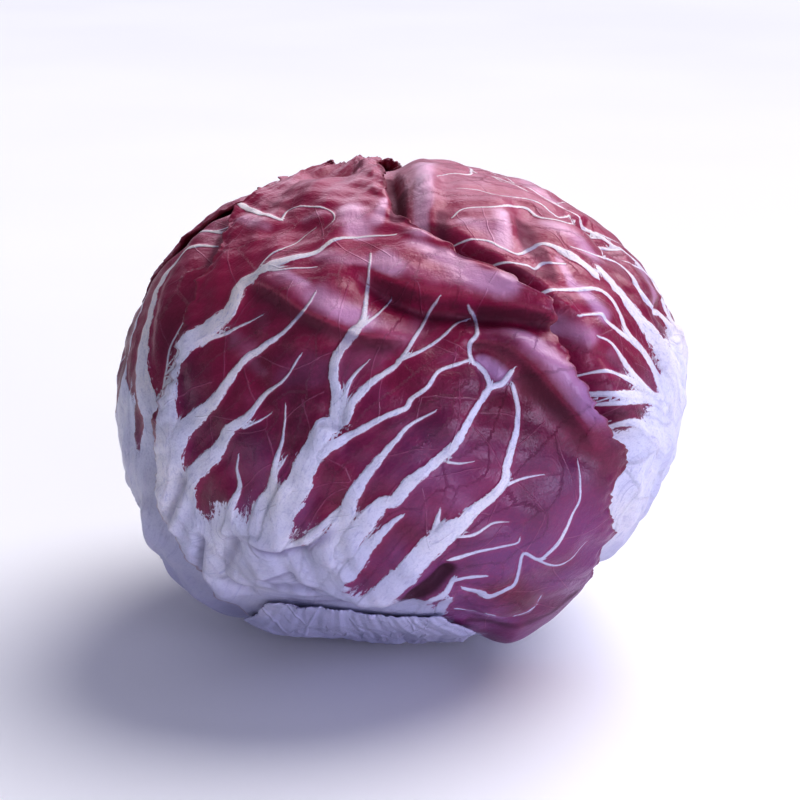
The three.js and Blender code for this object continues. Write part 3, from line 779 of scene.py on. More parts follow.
def branches(leaf, parents, seed, spacing, angle, length, first, last, joins=1.2, pace=1.8, others=()):
    """Side ribs that leave their parents by turns to the left and right, at an angle and every spacing, and
    walk over the head in small steps, swaying, until they meet another rib or the leaf's margin or have
    their length. Their half widths run from first to last."""
    draw = np.random.default_rng(seed)
    place, heading, widest = [], [], []
    for points, width in parents:
        steps = np.linalg.norm(np.diff(points, axis=0), axis=1) * MEAN_RADIUS
        reach = np.concatenate([[0], np.cumsum(steps)])
        starts = np.arange(spacing * draw.uniform(0.3, 1.0), reach[-1] * 0.96, spacing)
        starts = np.clip(starts + draw.uniform(-0.25, 0.25, len(starts)) * spacing, 1.0, reach[-1] - 1.0)
        if len(starts) == 0:
            continue
        at = points_along(points, reach, starts)
        on, off = (points_along(points, reach, starts + step) for step in (1.5, -1.5))
        turn = np.where(np.arange(len(starts)) % 2, 1, -1) * draw.choice([-1, 1])
        turn = np.radians(turn * angle * draw.uniform(0.75, 1.25, len(starts)))[:, None]
        at, ahead = unit(at), unit(on - off)
        place.append(at)
        heading.append(ahead * np.cos(turn) + np.cross(at, ahead) * np.sin(turn))
        widest.append(np.minimum(first, 0.75 * np.interp(starts, reach, width)))
    if not place:
        return []
    place, heading, widest = np.vstack(place), np.vstack(heading), np.concatenate(widest)
    goal = length * draw.uniform(0.6, 1.25, len(place))
    bend = draw.uniform(-0.012, 0.012, len(place))[:, None]
    spans = segments(parents + list(others))
    alive = np.ones(len(place), bool)
    track, lasts = [place], np.zeros(len(place), int)
    siblings = ~np.eye(len(place), dtype=bool)
    for count in range(1, int(length * 1.3 / pace) + 1):
        sway = bend + draw.normal(0, 0.09, (len(place), 1))
        heading = unit(heading * np.cos(sway) + np.cross(place, heading) * np.sin(sway))
        place = unit(place + heading * pace / MEAN_RADIUS)
        heading = unit(heading - (heading * place).sum(1)[:, None] * place)
        track.append(place)
        lasts[alive] = count
        met = (nearest_rib(place, spans)[2] < joins * 0.3) & (count * pace > joins * 4)
        for old in track:
            met |= ((place @ old.T > math.cos(joins * 0.8 / MEAN_RADIUS)) & siblings).any(1)
        alive &= ~met & (past_outline(leaf, place) < 0.01) & (count * pace < goal)
        if not alive.any():
            break
    track = np.array(track)
    grown = []
    for k in range(len(widest)):
        if lasts[k] > 1:
            share = np.linspace(0, 1, lasts[k] + 1)
            grown.append((track[: lasts[k] + 1, k], widest[k] + (min(last, widest[k]) - widest[k]) * share))
    return grown


def rib_networks(leaf):
    """The two networks of a leaf: its white ribs, and the fine veins between them. Where the photograph
    shows a leaf's ribs they are drawn, and elsewhere they fan out from its foot and fork."""
    seed = int(leaf["seed"] * 10)
    drawn, fans = [], fan_ribs(leaf)
    if leaf["name"] == "front_leaf":
        drawn, fans = drawn_ribs(FRONT_RIBS), []
    elif leaf["name"] == "right_leaf":
        drawn = drawn_ribs(RIGHT_RIBS)
        fans = [rib for rib in fans if (rib[0] @ direction(*RIGHT_DRAWN_PLACE)).max() < DRAWN_NEARNESS]
    elif leaf["name"] == "left_leaf":
        drawn = drawn_ribs(LEFT_RIBS)
        fans = [rib for rib in fans if (rib[0] @ direction(*LEFT_DRAWN_PLACE)).max() < DRAWN_NEARNESS]
    if leaf["name"].startswith("inner"):
        return fans, fans[-1:]
    if fans:
        forks = branches(leaf, fans, seed, spacing=18, angle=27, length=38, first=1.0, last=0.25,
                         others=drawn)
        twigs = branches(leaf, fans + forks, seed + 1, spacing=16, angle=38, length=18, first=0.4, last=0.15,
                         others=drawn)
        fans = fans + forks + twigs
    ribs = drawn + fans
    veins = branches(leaf, ribs, seed + 2, spacing=9.5, angle=44, length=13, first=0.25, last=0.12,
                     joins=1.0, pace=1.4)
    return ribs, veins


def foot_gap(leaf, d):
    """Millimetres above the line where a leaf's white foot ends: a drawn line, or a waving one by its angles
    that runs up the broad midrib."""
    a, b = leaf_angles(leaf, d)
    midrib = MIDRIB_WHITE * np.exp(-((b / MIDRIB_SPREAD) ** 2)) * (leaf["name"] != "left_leaf")
    edge = leaf["foot"] + leaf["white"] + midrib + FOOT_LINE_WAVE * ripple(leaf["seed"], b / 6, 0.5)
    gap = np.radians(a - edge) * MEAN_RADIUS
    if leaf["name"] == "front_leaf":
        gap, _ = from_line(d, on_head(through(FRONT_FOOT_LINE)))
    elif leaf["name"] == "right_leaf":
        drawn, _ = from_line(d, on_head(through(RIGHT_FOOT_LINE)))
        near = smooth((d @ direction(*RIGHT_FOOT_PLACE) - 0.80) / 0.10)
        gap = gap + (drawn - gap) * near
    return gap


def undulation(d, seed):
    """Soft unevenness of a blade over some 10 mm: sine waves along three slanting axes, added."""
    x, y, z = (d[..., axis] * MEAN_RADIUS for axis in range(3))
    return (
        0.5 * np.sin(0.42 * x + 0.31 * z + seed)
        + 0.5 * np.sin(0.37 * y - 0.44 * z + 2.3 * seed)
        + 0.35 * np.sin(0.71 * x - 0.58 * y + 0.5 * z + 3.1 * seed)
        + 0.25 * np.sin(1.1 * z + 0.9 * y + 1.7 * seed)
    ) / 1.6


def leaf_grid(leaf, rows, columns):
    """A leaf's grid of u, from foot to tip, and v, from the left margin to the right one: u, v, the
    directions, with a waved and toothed margin, and the millimetres to the nearest margin."""
    seed = leaf["seed"]
    ragged = SHORT_RAGGEDNESS if leaf["tip"] < SHORT_TIP else 1.0
    edge_wave = FRONT_EDGE_WAVE if leaf["name"] == "front_leaf" else EDGE_WAVE
    u, v = np.meshgrid(np.linspace(0, 1, rows + 1), np.linspace(-1, 1, columns + 1), indexing="ij")
    right, left = half_width(leaf, u, 1), half_width(leaf, u, -1)
    half = (right + left) / 2
    b = (right - left) / 2 + half * v
    a = leaf["foot"] + (leaf["tip"] - leaf["foot"]) * u - foot_drop(leaf, b) * (1 - u) ** FOOT_RING_POWER
    inset = (1 - np.abs(v)) * np.radians(half) * MEAN_RADIUS
    tip_inset = np.radians(leaf["tip"] - a) * MEAN_RADIUS
    wave = edge_wave * ragged * ripple(seed, 11 * u, 2 * v) * smooth(4 * u)
    tooth = ripple(seed + 1, 70 * u, v) + 0.6 * ripple(seed + 2, 150 * u, v)
    tooth = ragged * TOOTH_DEPTH * tooth * smooth(4 * u - 0.6)
    shift = np.abs(v) ** 4 * wave + np.exp(-inset / TOOTH_REACH) * tooth
    b = b + np.sign(v) * np.degrees(shift / MEAN_RADIUS)
    tip_tooth = ragged * (ripple(seed + 4, 24 * v, 1.0) + 0.7 * ripple(seed + 5, 60 * v, 1.0))
    tip_shift = np.exp(-tip_inset / TOOTH_REACH) * TIP_TOOTH_DEPTH * tip_tooth
    a = a + np.degrees(tip_shift / MEAN_RADIUS) * (1 - np.abs(v) ** 6)
    return u, v, leaf_direction(leaf, a, b), np.minimum(inset, tip_inset)


def leaf_layer(leaf, number, rows, columns, spans, outside):
    """One face of a leaf: the surface under the leaves outside it, plus its lifted and ruffled margin, its
    pleated foot and, on the outer face, its ribs, which are half ellipses across their width, and the
    blade's pucker between them. The inner face lies one thickness further in."""
    u, v, d, near_edge = leaf_grid(leaf, rows, columns)
    seed = leaf["seed"]
    short = leaf["tip"] < SHORT_TIP
    ragged, calm = (SHORT_RAGGEDNESS, SHORT_SWELL) if short else (1.0, 1.0)
    lift_height = leaf.get("lift", EDGE_LIFT)
    if leaf["name"] == "front_leaf":
        lift_height = FRONT_EDGE_LIFT * smooth(4 * u - 1)

    r, free = under(number + 1, d)
    lift = lift_height * (0.6 + 0.4 * ripple(seed + 3, 16 * u, 5 * v)) * np.exp(-near_edge / EDGE_LIFT_REACH)
    ruffle = RUFFLE * ragged * (1 + ripple(seed + 6, 60 * u, 14 * v)) * np.exp(-near_edge / RUFFLE_REACH)
    swell = calm * UNDULATION * (0.8 + undulation(d, seed))
    r = r + free * (lift + ruffle + swell) * smooth(3 * u)

    side, width, gap, reach = nearest_rib(d, spans)
    foot = foot_gap(leaf, d)
    thin_edge = np.exp(-near_edge / EDGE_THIN_REACH)
    on_foot = 1 - smooth((foot + 2) / 10)
    pleat = FOOT_PLEAT * (0.7 + ripple(seed + 8, 8 * v, 1.2 * u)) * on_foot * smooth(5 * u)
    r = r + free * calm * pleat - short * EDGE_TUCK * thin_edge
    if outside:
        share = np.clip(np.abs(side) / (1.5 * width), 0, 1)
        relief = np.minimum(RIB_RELIEF * width, RIB_RELIEF_MOST) * (1 - share * share) ** 0.8
        pucker = PUCKER * (1 - np.exp(-np.maximum(gap, 0) / PUCKER_REACH)) * smooth((foot + 4) / 12)
        r = r + free * calm * (relief + pucker) * smooth(8 * u) * smooth(near_edge / 3)
    else:
        thinning = SHORT_EDGE_THINNING if short else EDGE_THINNING
        r = r - thickness(leaf, d) * (1 - thinning * thin_edge * smooth(4 * u))
    marks = dict(rib_side=side, rib_width=width, rib_gap=gap, rib_along=reach, foot_gap=foot,
                 edge_gap=near_edge + 5 * short, tone=tone_mark(d) * (number >= INNER_LEAVES))
    return d, r, marks


def boundary(rows, columns):
    """The grid places round a sheet's edge, once round to the left: foot, right margin, tip, left margin."""
    foot = [(0, j) for j in range(columns)]
    right = [(i, columns) for i in range(rows)]
    tip = [(rows, j) for j in range(columns, 0, -1)]
    left = [(i, 0) for i in range(rows, 0, -1)]
    return np.array(foot + right + tip + left)


def grid_quads(rows, columns, first):
    """Quads of a grid whose points are numbered row by row from first, turned outwards."""
    i, j = np.meshgrid(np.arange(rows), np.arange(columns), indexing="ij")
    corner = (first + i * (columns + 1) + j).ravel()
    return np.stack([corner, corner + 1, corner + columns + 2, corner + columns + 1], axis=1)


def make_piece(name, node, points, faces, marks, material):
    """The piece that replaces a node: a mesh from points and from lists of faces of one length each, with a
    float mark for every point."""
    mesh = bpy.data.meshes.new(name)
    loops = np.concatenate([f.ravel() for f in faces]).astype(np.int32)
    counts = np.concatenate([np.full(len(f), f.shape[1]) for f in faces]).astype(np.int32)
    mesh.vertices.add(len(points))
    mesh.vertices.foreach_set("co", points.astype(np.float32).ravel())
    mesh.loops.add(len(loops))
    mesh.loops.foreach_set("vertex_index", loops)
    mesh.polygons.add(len(counts))
    starts = np.concatenate([[0], np.cumsum(counts)[:-1]]).astype(np.int32)
    mesh.polygons.foreach_set("loop_start", starts)
    mesh.update(calc_edges=True)
    mesh.polygons.foreach_set("use_smooth", np.ones(len(counts), bool))
    for mark, values in marks.items():
        attribute = mesh.attributes.new(mark, "FLOAT", "POINT")
        attribute.data.foreach_set("value", values.astype(np.float32).ravel())
    mesh.validate()
    mesh.materials.append(material)
    piece = bpy.data.objects.new(name, mesh)
    bpy.context.scene.collection.objects.link(piece)
    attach(piece, "root")
    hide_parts(node)
    return piece


def rim_faces(number_out, number_in, ring, step):
    """Faces of a rim, from the outer grid's edge over its middle line to the inner grid's edge, which has
    one point for every few of the others: quads, a fan to each inner point, and what closes the fans."""
    count = len(ring)
    after = np.roll(np.arange(count), -1)
    upper = np.stack([number_out, ring, ring[after], number_out[after]], axis=1)
    held = number_in[np.arange(count) // step]
    fans = np.stack([held, ring[after], ring], axis=1)
    last = np.arange(step - 1, count, step)
    turned = np.roll(number_in, -1)[last // step]
    closing = np.stack([number_in[last // step], turned, ring[after[last]]], axis=1)
    return [upper, fans, closing]


def leaf_piece(leaf, number, material):
    """A leaf as a closed sheet: a fine outer grid, an inner grid with half as many rows and columns, and a
    rim with a rounded middle line that joins them."""
    step = INNER_STEP
    rows, columns = (max(4, int(n * DETAIL) // step * step) for n in leaf["grid"])
    ribs, veins = rib_networks(leaf)
    spans, vein_spans = segments(ribs), segments(veins)
    d_out, r_out, marks_out = leaf_layer(leaf, number, rows, columns, spans, True)
    d_in, r_in, marks_in = leaf_layer(leaf, number, rows // step, columns // step, spans, False)
    for d, marks in ((d_out, marks_out), (d_in, marks_in)):
        marks["vein_side"], _, marks["vein_gap"], _ = nearest_rib(d, vein_spans)
    outer, inner = placed(d_out, r_out), placed(d_in, r_in)

    edge_out = boundary(rows, columns)
    edge_in = boundary(rows // step, columns // step)
    number_out = edge_out[:, 0] * (columns + 1) + edge_out[:, 1]
    inward = np.clip(edge_out, 1, [rows - 1, columns - 1])
    away = unit(outer[edge_out[:, 0], edge_out[:, 1]] - outer[inward[:, 0], inward[:, 1]])
    rim_out = outer.reshape(-1, 3)[number_out]
    rim_in = inner[edge_in[:, 0], edge_in[:, 1]]
    rim_in = np.vstack([rim_in, rim_in[:1]])
    between = np.arange(len(rim_out)) / step
    rim_in = np.stack([np.interp(between, np.arange(len(rim_in)), rim_in[:, k]) for k in range(3)], axis=1)
    bulge = RIM_BULGE * np.linalg.norm(rim_out - rim_in, axis=1)[:, None]
    middle = (rim_out + rim_in) / 2 + away * bulge

    points = np.vstack([outer.reshape(-1, 3), inner.reshape(-1, 3), middle])
    outer_count = outer.shape[0] * outer.shape[1]
    number_in = outer_count + edge_in[:, 0] * (columns // step + 1) + edge_in[:, 1]
    ring = np.arange(len(points) - len(middle), len(points))
    faces = [grid_quads(rows, columns, 0), grid_quads(rows // step, columns // step, outer_count)[:, ::-1]]
    faces += rim_faces(number_out, number_in, ring, step)
    marks = {}
    for name, values in marks_out.items():
        rim = values.ravel()[number_out]
        marks[name] = np.concatenate([values.ravel(), marks_in[name].ravel(), rim])
    return make_piece(leaf["name"] + "_blade", leaf["name"], points, faces, marks, material)


# Materials. Each is worked out from object coordinates in metres and from the marks on the leaf's points.


class Wiring:
    """A material's node tree with short calls that add one node and hand back its output."""

    def __init__(self, name):
        self.material = bpy.data.materials.new(name)
        self.material.use_nodes = True
        self.tree = self.material.node_tree
        self.shader = self.tree.nodes["Principled BSDF"]
        self.place = self.add("ShaderNodeTexCoord").outputs["Object"]

    def add(self, kind, inputs=None, **settings):
        """A new node with its inputs fed and its settings made."""
        made = self.tree.nodes.new(kind)
        for name, value in settings.items():
            setattr(made, name, value)
        for name, value in (inputs or {}).items():
            self.feed(made.inputs[name], value)
        return made

    def feed(self, socket, value):
        """Links an output to a socket, or sets the socket to a plain value."""
        if isinstance(value, bpy.types.NodeSocket):
            self.tree.links.new(value, socket)
        else:
            socket.default_value = value

    def finish(self, **inputs):
        """Feeds the shader, whose sockets are named with _ for each space, and hands back the material."""
        for name, value in inputs.items():
            self.feed(self.shader.inputs[name.replace("_", " ")], value)
        return self.material

    def mark(self, name):
        """A float mark of the mesh's points."""
        return self.add("ShaderNodeAttribute", attribute_name=name).outputs["Fac"]

    def work_out(self, operation, *values):
        """One calculation with one to three values."""
        made = self.add("ShaderNodeMath", operation=operation)
        for socket, value in zip(made.inputs, values):
            self.feed(socket, value)
        return made.outputs[0]

    def times(self, first, second):
        return self.work_out("MULTIPLY", first, second)

    def times_plus(self, first, second, third):
        return self.work_out("MULTIPLY_ADD", first, second, third)

    def minus(self, first, second):
        return self.work_out("SUBTRACT", first, second)

    def greater(self, first, second):
        return self.work_out("MAXIMUM", first, second)

    def absolute(self, value):
        return self.work_out("ABSOLUTE", value)

    def ease(self, value, low, high, first=0.0, last=1.0):
        """A soft step from first to last as the value runs from low to high."""
        made = self.add("ShaderNodeMapRange", interpolation_type="SMOOTHSTEP")
        inputs = {"Value": value, "From Min": low, "From Max": high, "To Min": first, "To Max": last}
        for name, given in inputs.items():
            self.feed(made.inputs[name], given)
        return made.outputs[0]

    def noise(self, scale, detail=3.0, roughness=0.55, vector=None):
        """Soft noise between 0 and 1, with so many patches to a metre."""
        inputs = {"Vector": vector or self.place, "Scale": scale, "Detail": detail, "Roughness": roughness}
        return self.add("ShaderNodeTexNoise", inputs).outputs["Fac"]

    def layer(self, under, over, share, strength=None):
        """The colour over laid on the colour under, by a share and a strength."""
        made = self.add("ShaderNodeMix", data_type="RGBA")
        self.feed(made.inputs[0], share if strength is None else self.times(share, strength))
        self.feed(made.inputs[6], under)
        self.feed(made.inputs[7], over)
        return made.outputs[2]

    def bump(self, height, distance, strength):
        """A normal tilted by the slope of a height."""
        inputs = {"Height": height, "Distance": distance, "Strength": strength}
        return self.add("ShaderNodeBump", inputs).outputs["Normal"]


DEEP_WINE = (0.105, 0.0022, 0.030, 1)
WINE = (0.205, 0.0045, 0.058, 1)
# Crimson is partly the crown's own red and partly painted light; plum is partly the lower part's own colour
# and partly a painted cool reflection.
CRIMSON = (0.32, 0.009, 0.062, 1)
PLUM = (0.185, 0.052, 0.195, 1)
ROSE = (0.42, 0.04, 0.14, 1)
# Painted sheen, partly a waxy film on the leaf: pale on the crown and violet lower down.
SHEEN_AND_BLOOM = (0.74, 0.44, 0.60, 1)
VIOLET_SHEEN_AND_BLOOM = (0.38, 0.22, 0.45, 1)
# Painted shade for hollows, folds and shadow lines: on the red low down and on the crown.
HOLLOW_SHADE = (0.040, 0.0012, 0.014, 1)
CROWN_HOLLOW_SHADE = (0.12, 0.004, 0.034, 1)
VEIN_PINK = (0.42, 0.13, 0.24, 1)
RIB_WHITE = (0.62, 0.62, 0.76, 1)
RIB_IVORY = (0.70, 0.68, 0.74, 1)
RIB_CREAM = (0.76, 0.69, 0.68, 1)
RIB_SHADE = (0.36, 0.355, 0.53, 1)
# Painted shade for hollows and shadow lines on the white.
RIB_HOLLOW_SHADE = (0.16, 0.13, 0.25, 1)
DRY_EDGE = (0.20, 0.045, 0.06, 1)
INNER_DARKNESS = 0.35


CUT_CREAM = (0.62, 0.50, 0.33, 1)
CUT_BROWN = (0.30, 0.16, 0.075, 1)
CUT_DARK = (0.11, 0.05, 0.025, 1)
FLOOR_GREY = (0.90, 0.90, 0.91, 1)
FLOOR_PALE = (0.93, 0.93, 0.94, 1)

# The head's crown is redder and lighter, partly its own colour and partly painted light, its lower part more
# purple,
# partly its own colour and partly a painted cool reflection, and its white foot darker low down, a painted
# shade:
# heights in metres between which each sets in.
CROWN_HEIGHTS = (0.095, 0.130)
PURPLE_HEIGHTS = (0.112, 0.062)
FOOT_SHADE_HEIGHTS = (0.085, 0.045)


class BladeWiring(Wiring):
    """The wiring of a blade, with the patterns that its colour, gloss and relief share."""

    def __init__(self, name):
        super().__init__(name)
        side, self.width = self.mark("rib_side"), self.mark("rib_width")
        flat = self.minus(self.absolute(side), self.width)
        self.edge = self.greater(flat, self.minus(self.mark("rib_gap"), 0.35))
        lengthwise = self.add("ShaderNodeCombineXYZ")
        self.feed(lengthwise.inputs[0], self.times(side, 1.3))
        self.feed(lengthwise.inputs[1], self.times(self.mark("rib_along"), 0.36))
        self.streak = self.minus(self.noise(1.0, 4.0, 0.65, lengthwise.outputs[0]), 0.5)
        self.speckle = self.minus(self.noise(2200.0, 2.0), 0.5)
        self.grain = self.minus(self.noise(900.0, 3.0), 0.5)
        self.blotch = self.minus(self.noise(240.0, 3.0), 0.5)
        height = self.add("ShaderNodeSeparateXYZ", {"Vector": self.place}).outputs["Z"]
        self.height = self.times_plus(self.noise(36.0, 2.0), 0.05, height)
        self.upper = self.ease(self.height, *CROWN_HEIGHTS)
        # The tone mark with random blotches: pale is where painted sheen goes, and deep is where painted
        # shade goes.
        tone = self.times_plus(self.blotch, 0.35, self.mark("tone"))
        self.pale = self.ease(tone, 0.05, 0.9)
        self.deep = self.ease(tone, -0.10, -0.95)
        vein = self.greater(self.absolute(self.mark("vein_side")), self.minus(self.mark("vein_gap"), 0.1))
        self.vein = self.ease(self.times_plus(self.grain, 0.3, vein), 0.22, 0.02)


def white_share(w):
    """1 on a blade's white ribs and foot and 0 on its red. A rib's edge is roughened by noise and by streaks
    that run along it, and the foot's end is feathered by the same streaks."""
    spread = w.times_plus(w.width, 0.55, 0.05)
    rough = w.times_plus(w.streak, w.times(spread, -2.2), w.edge)
    rough = w.times_plus(w.grain, w.ease(w.width, 0.3, 1.2, 0.15, 0.7), rough)
    reach = w.times_plus(w.streak, 11.0, w.mark("foot_gap"))
    reach = w.times_plus(w.blotch, 6.0, reach)
    reach = w.times_plus(w.grain, 2.5, reach)
    return w.greater(w.ease(rough, 0.14, -0.14), w.ease(reach, 0.5, -0.6))


def red_colour(w, darker):
    """The red between the ribs: wine in clouds, crimson on the crown, partly painted light, and plum below,
    partly a painted cool reflection, rose where it thins, rose blotches and specks, partly painted sheen, a
    fine net, veins, painted sheen (partly a waxy film) in clouds and where the tone is pale, and painted
    shade in hollows where it is deep."""
    # Painted sheen, partly a waxy film, violet low down and pale on the crown; painted shade for hollows and
    # shadow lines.
    sheen_and_bloom = w.layer(VIOLET_SHEEN_AND_BLOOM, SHEEN_AND_BLOOM, w.upper)
    hollow_shade = w.layer(HOLLOW_SHADE, CROWN_HOLLOW_SHADE, w.upper)
    lower = w.ease(w.height, *PURPLE_HEIGHTS)
    net = w.add("ShaderNodeTexVoronoi", {"Vector": w.place, "Scale": 480.0}, feature="DISTANCE_TO_EDGE")
    red = w.layer(DEEP_WINE, WINE, w.ease(w.noise(55.0, 3.0), 0.34, 0.70))
    # Crimson on the crown: partly the leaf's own colour and partly painted light, lighter on top.
    red = w.layer(red, CRIMSON, w.upper, 0.8)
    # Plum low down: partly the leaf's own colour and partly a painted cool reflection.
    red = w.layer(red, PLUM, w.times(lower, w.ease(w.noise(42.0, 2.0), 0.30, 0.60)), 0.75)
    # The rose blotches and specks here are partly the leaf's own mottling and partly painted sheen.
    red = w.layer(red, ROSE, w.ease(w.blotch, 0.03, 0.28), 0.16)
    red = w.layer(red, ROSE, w.ease(w.edge, 1.3, 0.0), 0.18)
    red = w.layer(red, ROSE, w.ease(w.speckle, 0.0, 0.2), 0.12)
    red = w.layer(red, ROSE, w.ease(net.outputs["Distance"], 0.09, 0.0), 0.07)
    red = w.layer(red, VEIN_PINK, w.vein, 0.24)
    # Painted sheen in random clouds and where the tone is pale; painted shade where it is deep.
    red = w.layer(red, sheen_and_bloom, w.ease(w.noise(48.0, 3.0), 0.56, 0.74), 0.16)
    red = w.layer(red, sheen_and_bloom, w.pale, 0.72)
    red = w.layer(red, hollow_shade, w.deep, 0.85)
    if darker:
        red = w.layer(red, DEEP_WINE, darker)
    return red


def white_colour(w):
    """The white of ribs and foot: ivory in clouds, cream on the crown, a painted shade low down, shaded in
    streaks and in specks, and a painted shade in hollows."""
    white = w.layer(RIB_WHITE, RIB_IVORY, w.ease(w.noise(70.0, 4.0), 0.35, 0.7))
    white = w.layer(white, RIB_CREAM, w.upper)
    # Painted shade: the white is darker low down.
    white = w.layer(white, RIB_SHADE, w.ease(w.height, *FOOT_SHADE_HEIGHTS, 0.0, 0.8))
    white = w.layer(white, RIB_SHADE, w.ease(w.streak, 0.0, 0.3))
    white = w.layer(white, RIB_SHADE, w.ease(w.speckle, -0.05, 0.25, 0.0, 0.35))
    # Painted shade in hollows and shadow lines.
    return w.layer(white, RIB_HOLLOW_SHADE, w.deep, 0.75)


def leaf_material(name, darker=0.0):
    """A wine-red blade with white ribs and foot and a dry edge, glossier on the red, duller in hollows."""
    w = BladeWiring(name)
    white = white_share(w)
    colour = w.layer(red_colour(w, darker), white_colour(w), white)
    colour = w.layer(colour, DRY_EDGE, w.ease(w.mark("edge_gap"), 0.7, 0.1), 0.45)
    gloss = w.ease(w.noise(150.0, 3.0), 0.3, 0.7, 0.28, 0.42)
    gloss = w.times_plus(white, 0.16, gloss)
    gloss = w.times_plus(w.deep, 0.35, gloss)
    relief = w.times(w.ease(w.edge, 0.3, -0.3), 0.22)
    reliefs = [(w.vein, 0.08), (w.speckle, 0.06), (w.grain, 0.09), (w.blotch, 0.30), (w.streak, 0.15)]
    for pattern, depth in reliefs:
        relief = w.times_plus(pattern, depth, relief)
    return w.finish(
        Base_Color=colour,
        Roughness=gloss,
        Normal=w.bump(relief, 0.001, 0.9),
        Specular_IOR_Level=0.45,
        Subsurface_Weight=0.05,
        Subsurface_Radius=(0.004, 0.0015, 0.002),
        Subsurface_Scale=1.0,
    )


def stem_material():
    """Cut plant flesh: cream with a browned rim and centre, faint rings, and a dry fibrous grain."""
    w = Wiring("cut_stem")
    split = w.add("ShaderNodeSeparateXYZ", {"Vector": w.place})
    flat = w.add("ShaderNodeCombineXYZ", {"X": split.outputs["X"], "Y": split.outputs["Y"]})
    radius = w.add("ShaderNodeVectorMath", {0: flat.outputs[0]}, operation="LENGTH").outputs["Value"]
    uneven = w.times_plus(w.noise(300.0, 4.0), 0.0035, radius)
    rings = w.work_out("SINE", w.times(uneven, 3200.0))
    colour = w.layer(CUT_CREAM, CUT_BROWN, w.ease(rings, -0.6, 1.0, 0.0, 0.35))
    colour = w.layer(colour, CUT_DARK, w.ease(uneven, 0.0105, 0.0145))
    colour = w.layer(colour, CUT_BROWN, w.ease(uneven, 0.0052, 0.002, 0.0, 0.7))
    colour = w.layer(colour, CUT_BROWN, w.ease(w.noise(700.0, 5.0), 0.55, 0.75, 0.0, 0.6))
    return w.finish(Base_Color=colour, Roughness=0.75, Normal=w.bump(w.noise(900.0, 5.0), 0.0006, 0.8))


def floor_material():
    """A matt floor, pale with faint broad clouds."""
    w = Wiring("pale_floor")
    colour = w.layer(FLOOR_GREY, FLOOR_PALE, w.ease(w.noise(3.0, 2.0), 0.3, 0.7))
    return w.finish(Base_Color=colour, Roughness=0.9)


def ring_faces(rings, sectors, first, below, above):
    """Faces of a closed shape of rings of points, numbered from first, with a pole below and one above."""
    i, j = np.meshgrid(np.arange(rings - 1), np.arange(sectors), indexing="ij")
    i, j, k = i.ravel(), j.ravel(), (j.ravel() + 1) % sectors
    here, there = i * sectors, (i + 1) * sectors
    quads = np.stack([here + j, here + k, there + k, there + j], axis=1)
    ring, after = np.arange(sectors), (np.arange(sectors) + 1) % sectors
    last = (rings - 1) * sectors
    low = np.stack([np.full(sectors, below), first + after, first + ring], axis=1)
    high = np.stack([first + last + ring, first + last + after, np.full(sectors, above)], axis=1)
    return [first + quads, low, high]


def heart_piece(material):
    """The space that the leaves leave, less a spiral of steps, with a socket below for the stem: points on
    rings of equal rise, with one pole below and one above."""
    rings, sectors = int(80 * DETAIL), int(120 * DETAIL)
    rise, azimuth = np.meshgrid(
        180 * np.arange(1, rings) / rings, 360 * np.arange(sectors) / sectors, indexing="ij"
    )
    rise = np.concatenate([[0.0], rise.ravel(), [180.0]])
    azimuth = np.concatenate([[0.0], azimuth.ravel(), [0.0]])
    r, _ = under(0, direction(azimuth, rise))
    turn = azimuth / 360 * HEART_LEAVES + rise / 130
    share = turn - np.floor(turn)
    between_poles = smooth((rise - 30) / 40) * smooth((176 - rise) / 24)
    step = HEART_STEP * share * smooth((1 - share) * 12) * between_poles
    socket = SOCKET_DEPTH * smooth((SOCKET_ANGLE + SOCKET_SOFTNESS - rise) / SOCKET_SOFTNESS)
    points = placed(direction(azimuth, rise), r - HEART_CLEARANCE - step - socket)
    faces = ring_faces(rings - 1, sectors, 1, 0, len(points) - 1)
    side = (share - 0.5) * 24
    ones = np.ones(len(points))
    marks = dict(rib_side=side, rib_width=HEART_RIB_WIDTH * ones, rib_gap=np.abs(side) - HEART_RIB_WIDTH,
                 rib_along=rise, vein_gap=5 * ones, foot_gap=(rise - 60) * 1.1, edge_gap=9 * ones,
                 vein_side=5 * ones, tone=0 * ones)
    return make_piece("heart_bud", "heart", points, faces, marks, material)


def stem_piece(material):
    """The stem: rings of points along its profile, fluted a little, from the cut face to the blunt top."""
    slope = math.tan(math.radians(STEM_HALF_ANGLE))
    turn = 2 * np.pi * np.arange(STEM_SECTORS) / STEM_SECTORS
    fluting = 1 - 0.014 * (1 - np.cos(9 * turn)) - 0.008 * (1 - np.cos(23 * turn + 1))
    rings = []
    for share, height in STEM_PROFILE:
        radius = share * (CENTRE_HEIGHT - height) * slope * fluting
        level = np.full(STEM_SECTORS, height)
        rings.append(np.stack([radius * np.cos(turn), radius * np.sin(turn), level], axis=1))
    points = np.vstack(rings + [np.array([[0.0, 0.0, 0.0], [0.0, 0.0, STEM_HEIGHT]])]) * MM
    faces = ring_faces(len(STEM_PROFILE), STEM_SECTORS, 0, len(points) - 2, len(points) - 1)
    return make_piece("stem_end", "stem", points, faces, {}, material)


def looking(place, aim):
    """The matrix of a thing at a place that looks along -Z at its aim, with +Y up."""
    turn = (Vector(aim) - Vector(place)).to_track_quat("-Z", "Y")
    matrix = turn.to_matrix().to_4x4()
    matrix.translation = place
    return matrix


def light(name, kind, place, power, colour, sheen_only=False, **settings):
    """A lamp at a place in metres, turned towards the middle of the head. One for sheen only shows in glossy
    reflections and doesn't brighten matt colour."""
    lamp = bpy.data.lights.new(name, kind)
    lamp.energy = power
    lamp.color = colour
    for setting, value in settings.items():
        setattr(lamp, setting, value)
    holder = bpy.data.objects.new(name, lamp)
    holder.matrix_world = looking(place, (0.0, 0.0, CENTRE_HEIGHT * MM))
    holder.visible_diffuse = not sheen_only
    bpy.context.scene.collection.objects.link(holder)


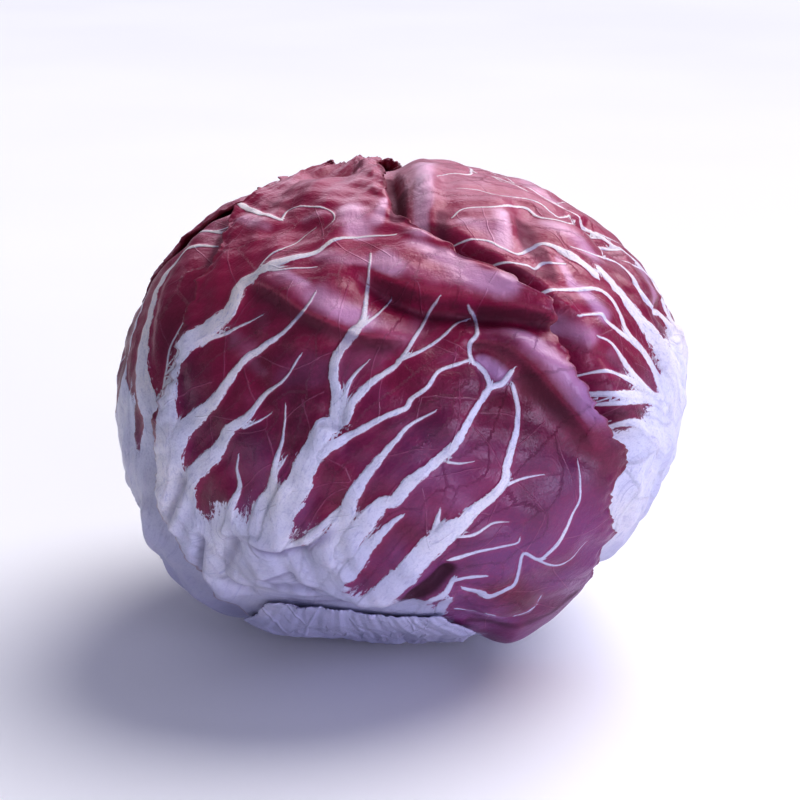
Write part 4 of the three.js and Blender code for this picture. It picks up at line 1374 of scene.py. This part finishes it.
def studio():
    """A pale floor, a broad soft light from high on the right behind the head, a window's sheen on its
    crown, a cool light low on the right in front, and a pale room."""
    mesh = bpy.data.meshes.new("floor")
    reach = FLOOR_REACH
    corners = [(-reach, -reach, 0), (reach, -reach, 0), (reach, reach, 0), (-reach, reach, 0)]
    mesh.from_pydata(corners, [], [(0, 1, 2, 3)])
    mesh.materials.append(floor_material())
    floor = bpy.data.objects.new("floor", mesh)
    bpy.context.scene.collection.objects.link(floor)
    world = bpy.data.worlds.new("pale_room")
    world.use_nodes = True
    background = world.node_tree.nodes["Background"]
    background.inputs["Color"].default_value = ROOM_COLOUR
    background.inputs["Strength"].default_value = ROOM_LIGHT
    bpy.context.scene.world = world
    light("key", "SUN", **KEY_LIGHT)
    light("window", "AREA", **WINDOW_LIGHT)
    light("side", "AREA", **SIDE_LIGHT)


def camera():
    """The camera where the photograph was taken from, and the look of its picture."""
    eye, _, _, _ = camera_axes()
    data = bpy.data.cameras.new("camera")
    data.lens, data.sensor_width = LENS, SENSOR
    holder = bpy.data.objects.new("camera", data)
    holder.matrix_world = looking(tuple(eye * MM), tuple(x * MM for x in CAMERA_TARGET))
    bpy.context.scene.collection.objects.link(holder)
    bpy.context.scene.camera = holder
    view = bpy.context.scene.view_settings
    view.view_transform = "Standard"
    view.exposure = EXPOSURE
    view.gamma = CONTRAST_GAMMA


# What the envelope is made of. The drawn lines and margins are cast on the head while it has only its
# swellings and broad folds, and then the drawn creases and grooves join it.
swellings = [(direction(azimuth, rise), height, reach) for azimuth, rise, height, reach in SWELLINGS]
creases, grooves = [], []
for line, step, reach in FOLDS:
    fold_azimuth, fold_rise = np.array(line, float).T
    creases.append((direction(fold_azimuth, fold_rise), step, FOLD_SOFTNESS, reach))
drawn_creases = [(on_head(through(line)), step, soft, reach) for line, step, soft, reach in CREASES]
drawn_grooves = [(on_head(through(line)), depth, width) for line, depth, width in GROOVES]
drawn_tones = [(on_head(through(line)), width, strength) for line, width, strength in TONES]
front = LEAVES[FRONT_NUMBER]
front["right_outline"] = drawn_outline(front, FRONT_RIGHT_MARGIN, 1, FRONT_RIGHT_UNSEEN)
front["left_outline"] = drawn_outline(front, FRONT_LEFT_MARGIN, -1, FRONT_LEFT_UNSEEN)
creases += drawn_creases
grooves += drawn_grooves

outer_material = leaf_material("outer_blade")
inner_material = leaf_material("inner_blade", darker=INNER_DARKNESS)
for number, leaf in enumerate(LEAVES):
    blade = leaf_piece(leaf, number, inner_material if number < INNER_LEAVES else outer_material)
heart_piece(inner_material)
stem_piece(stem_material())
studio()
camera()
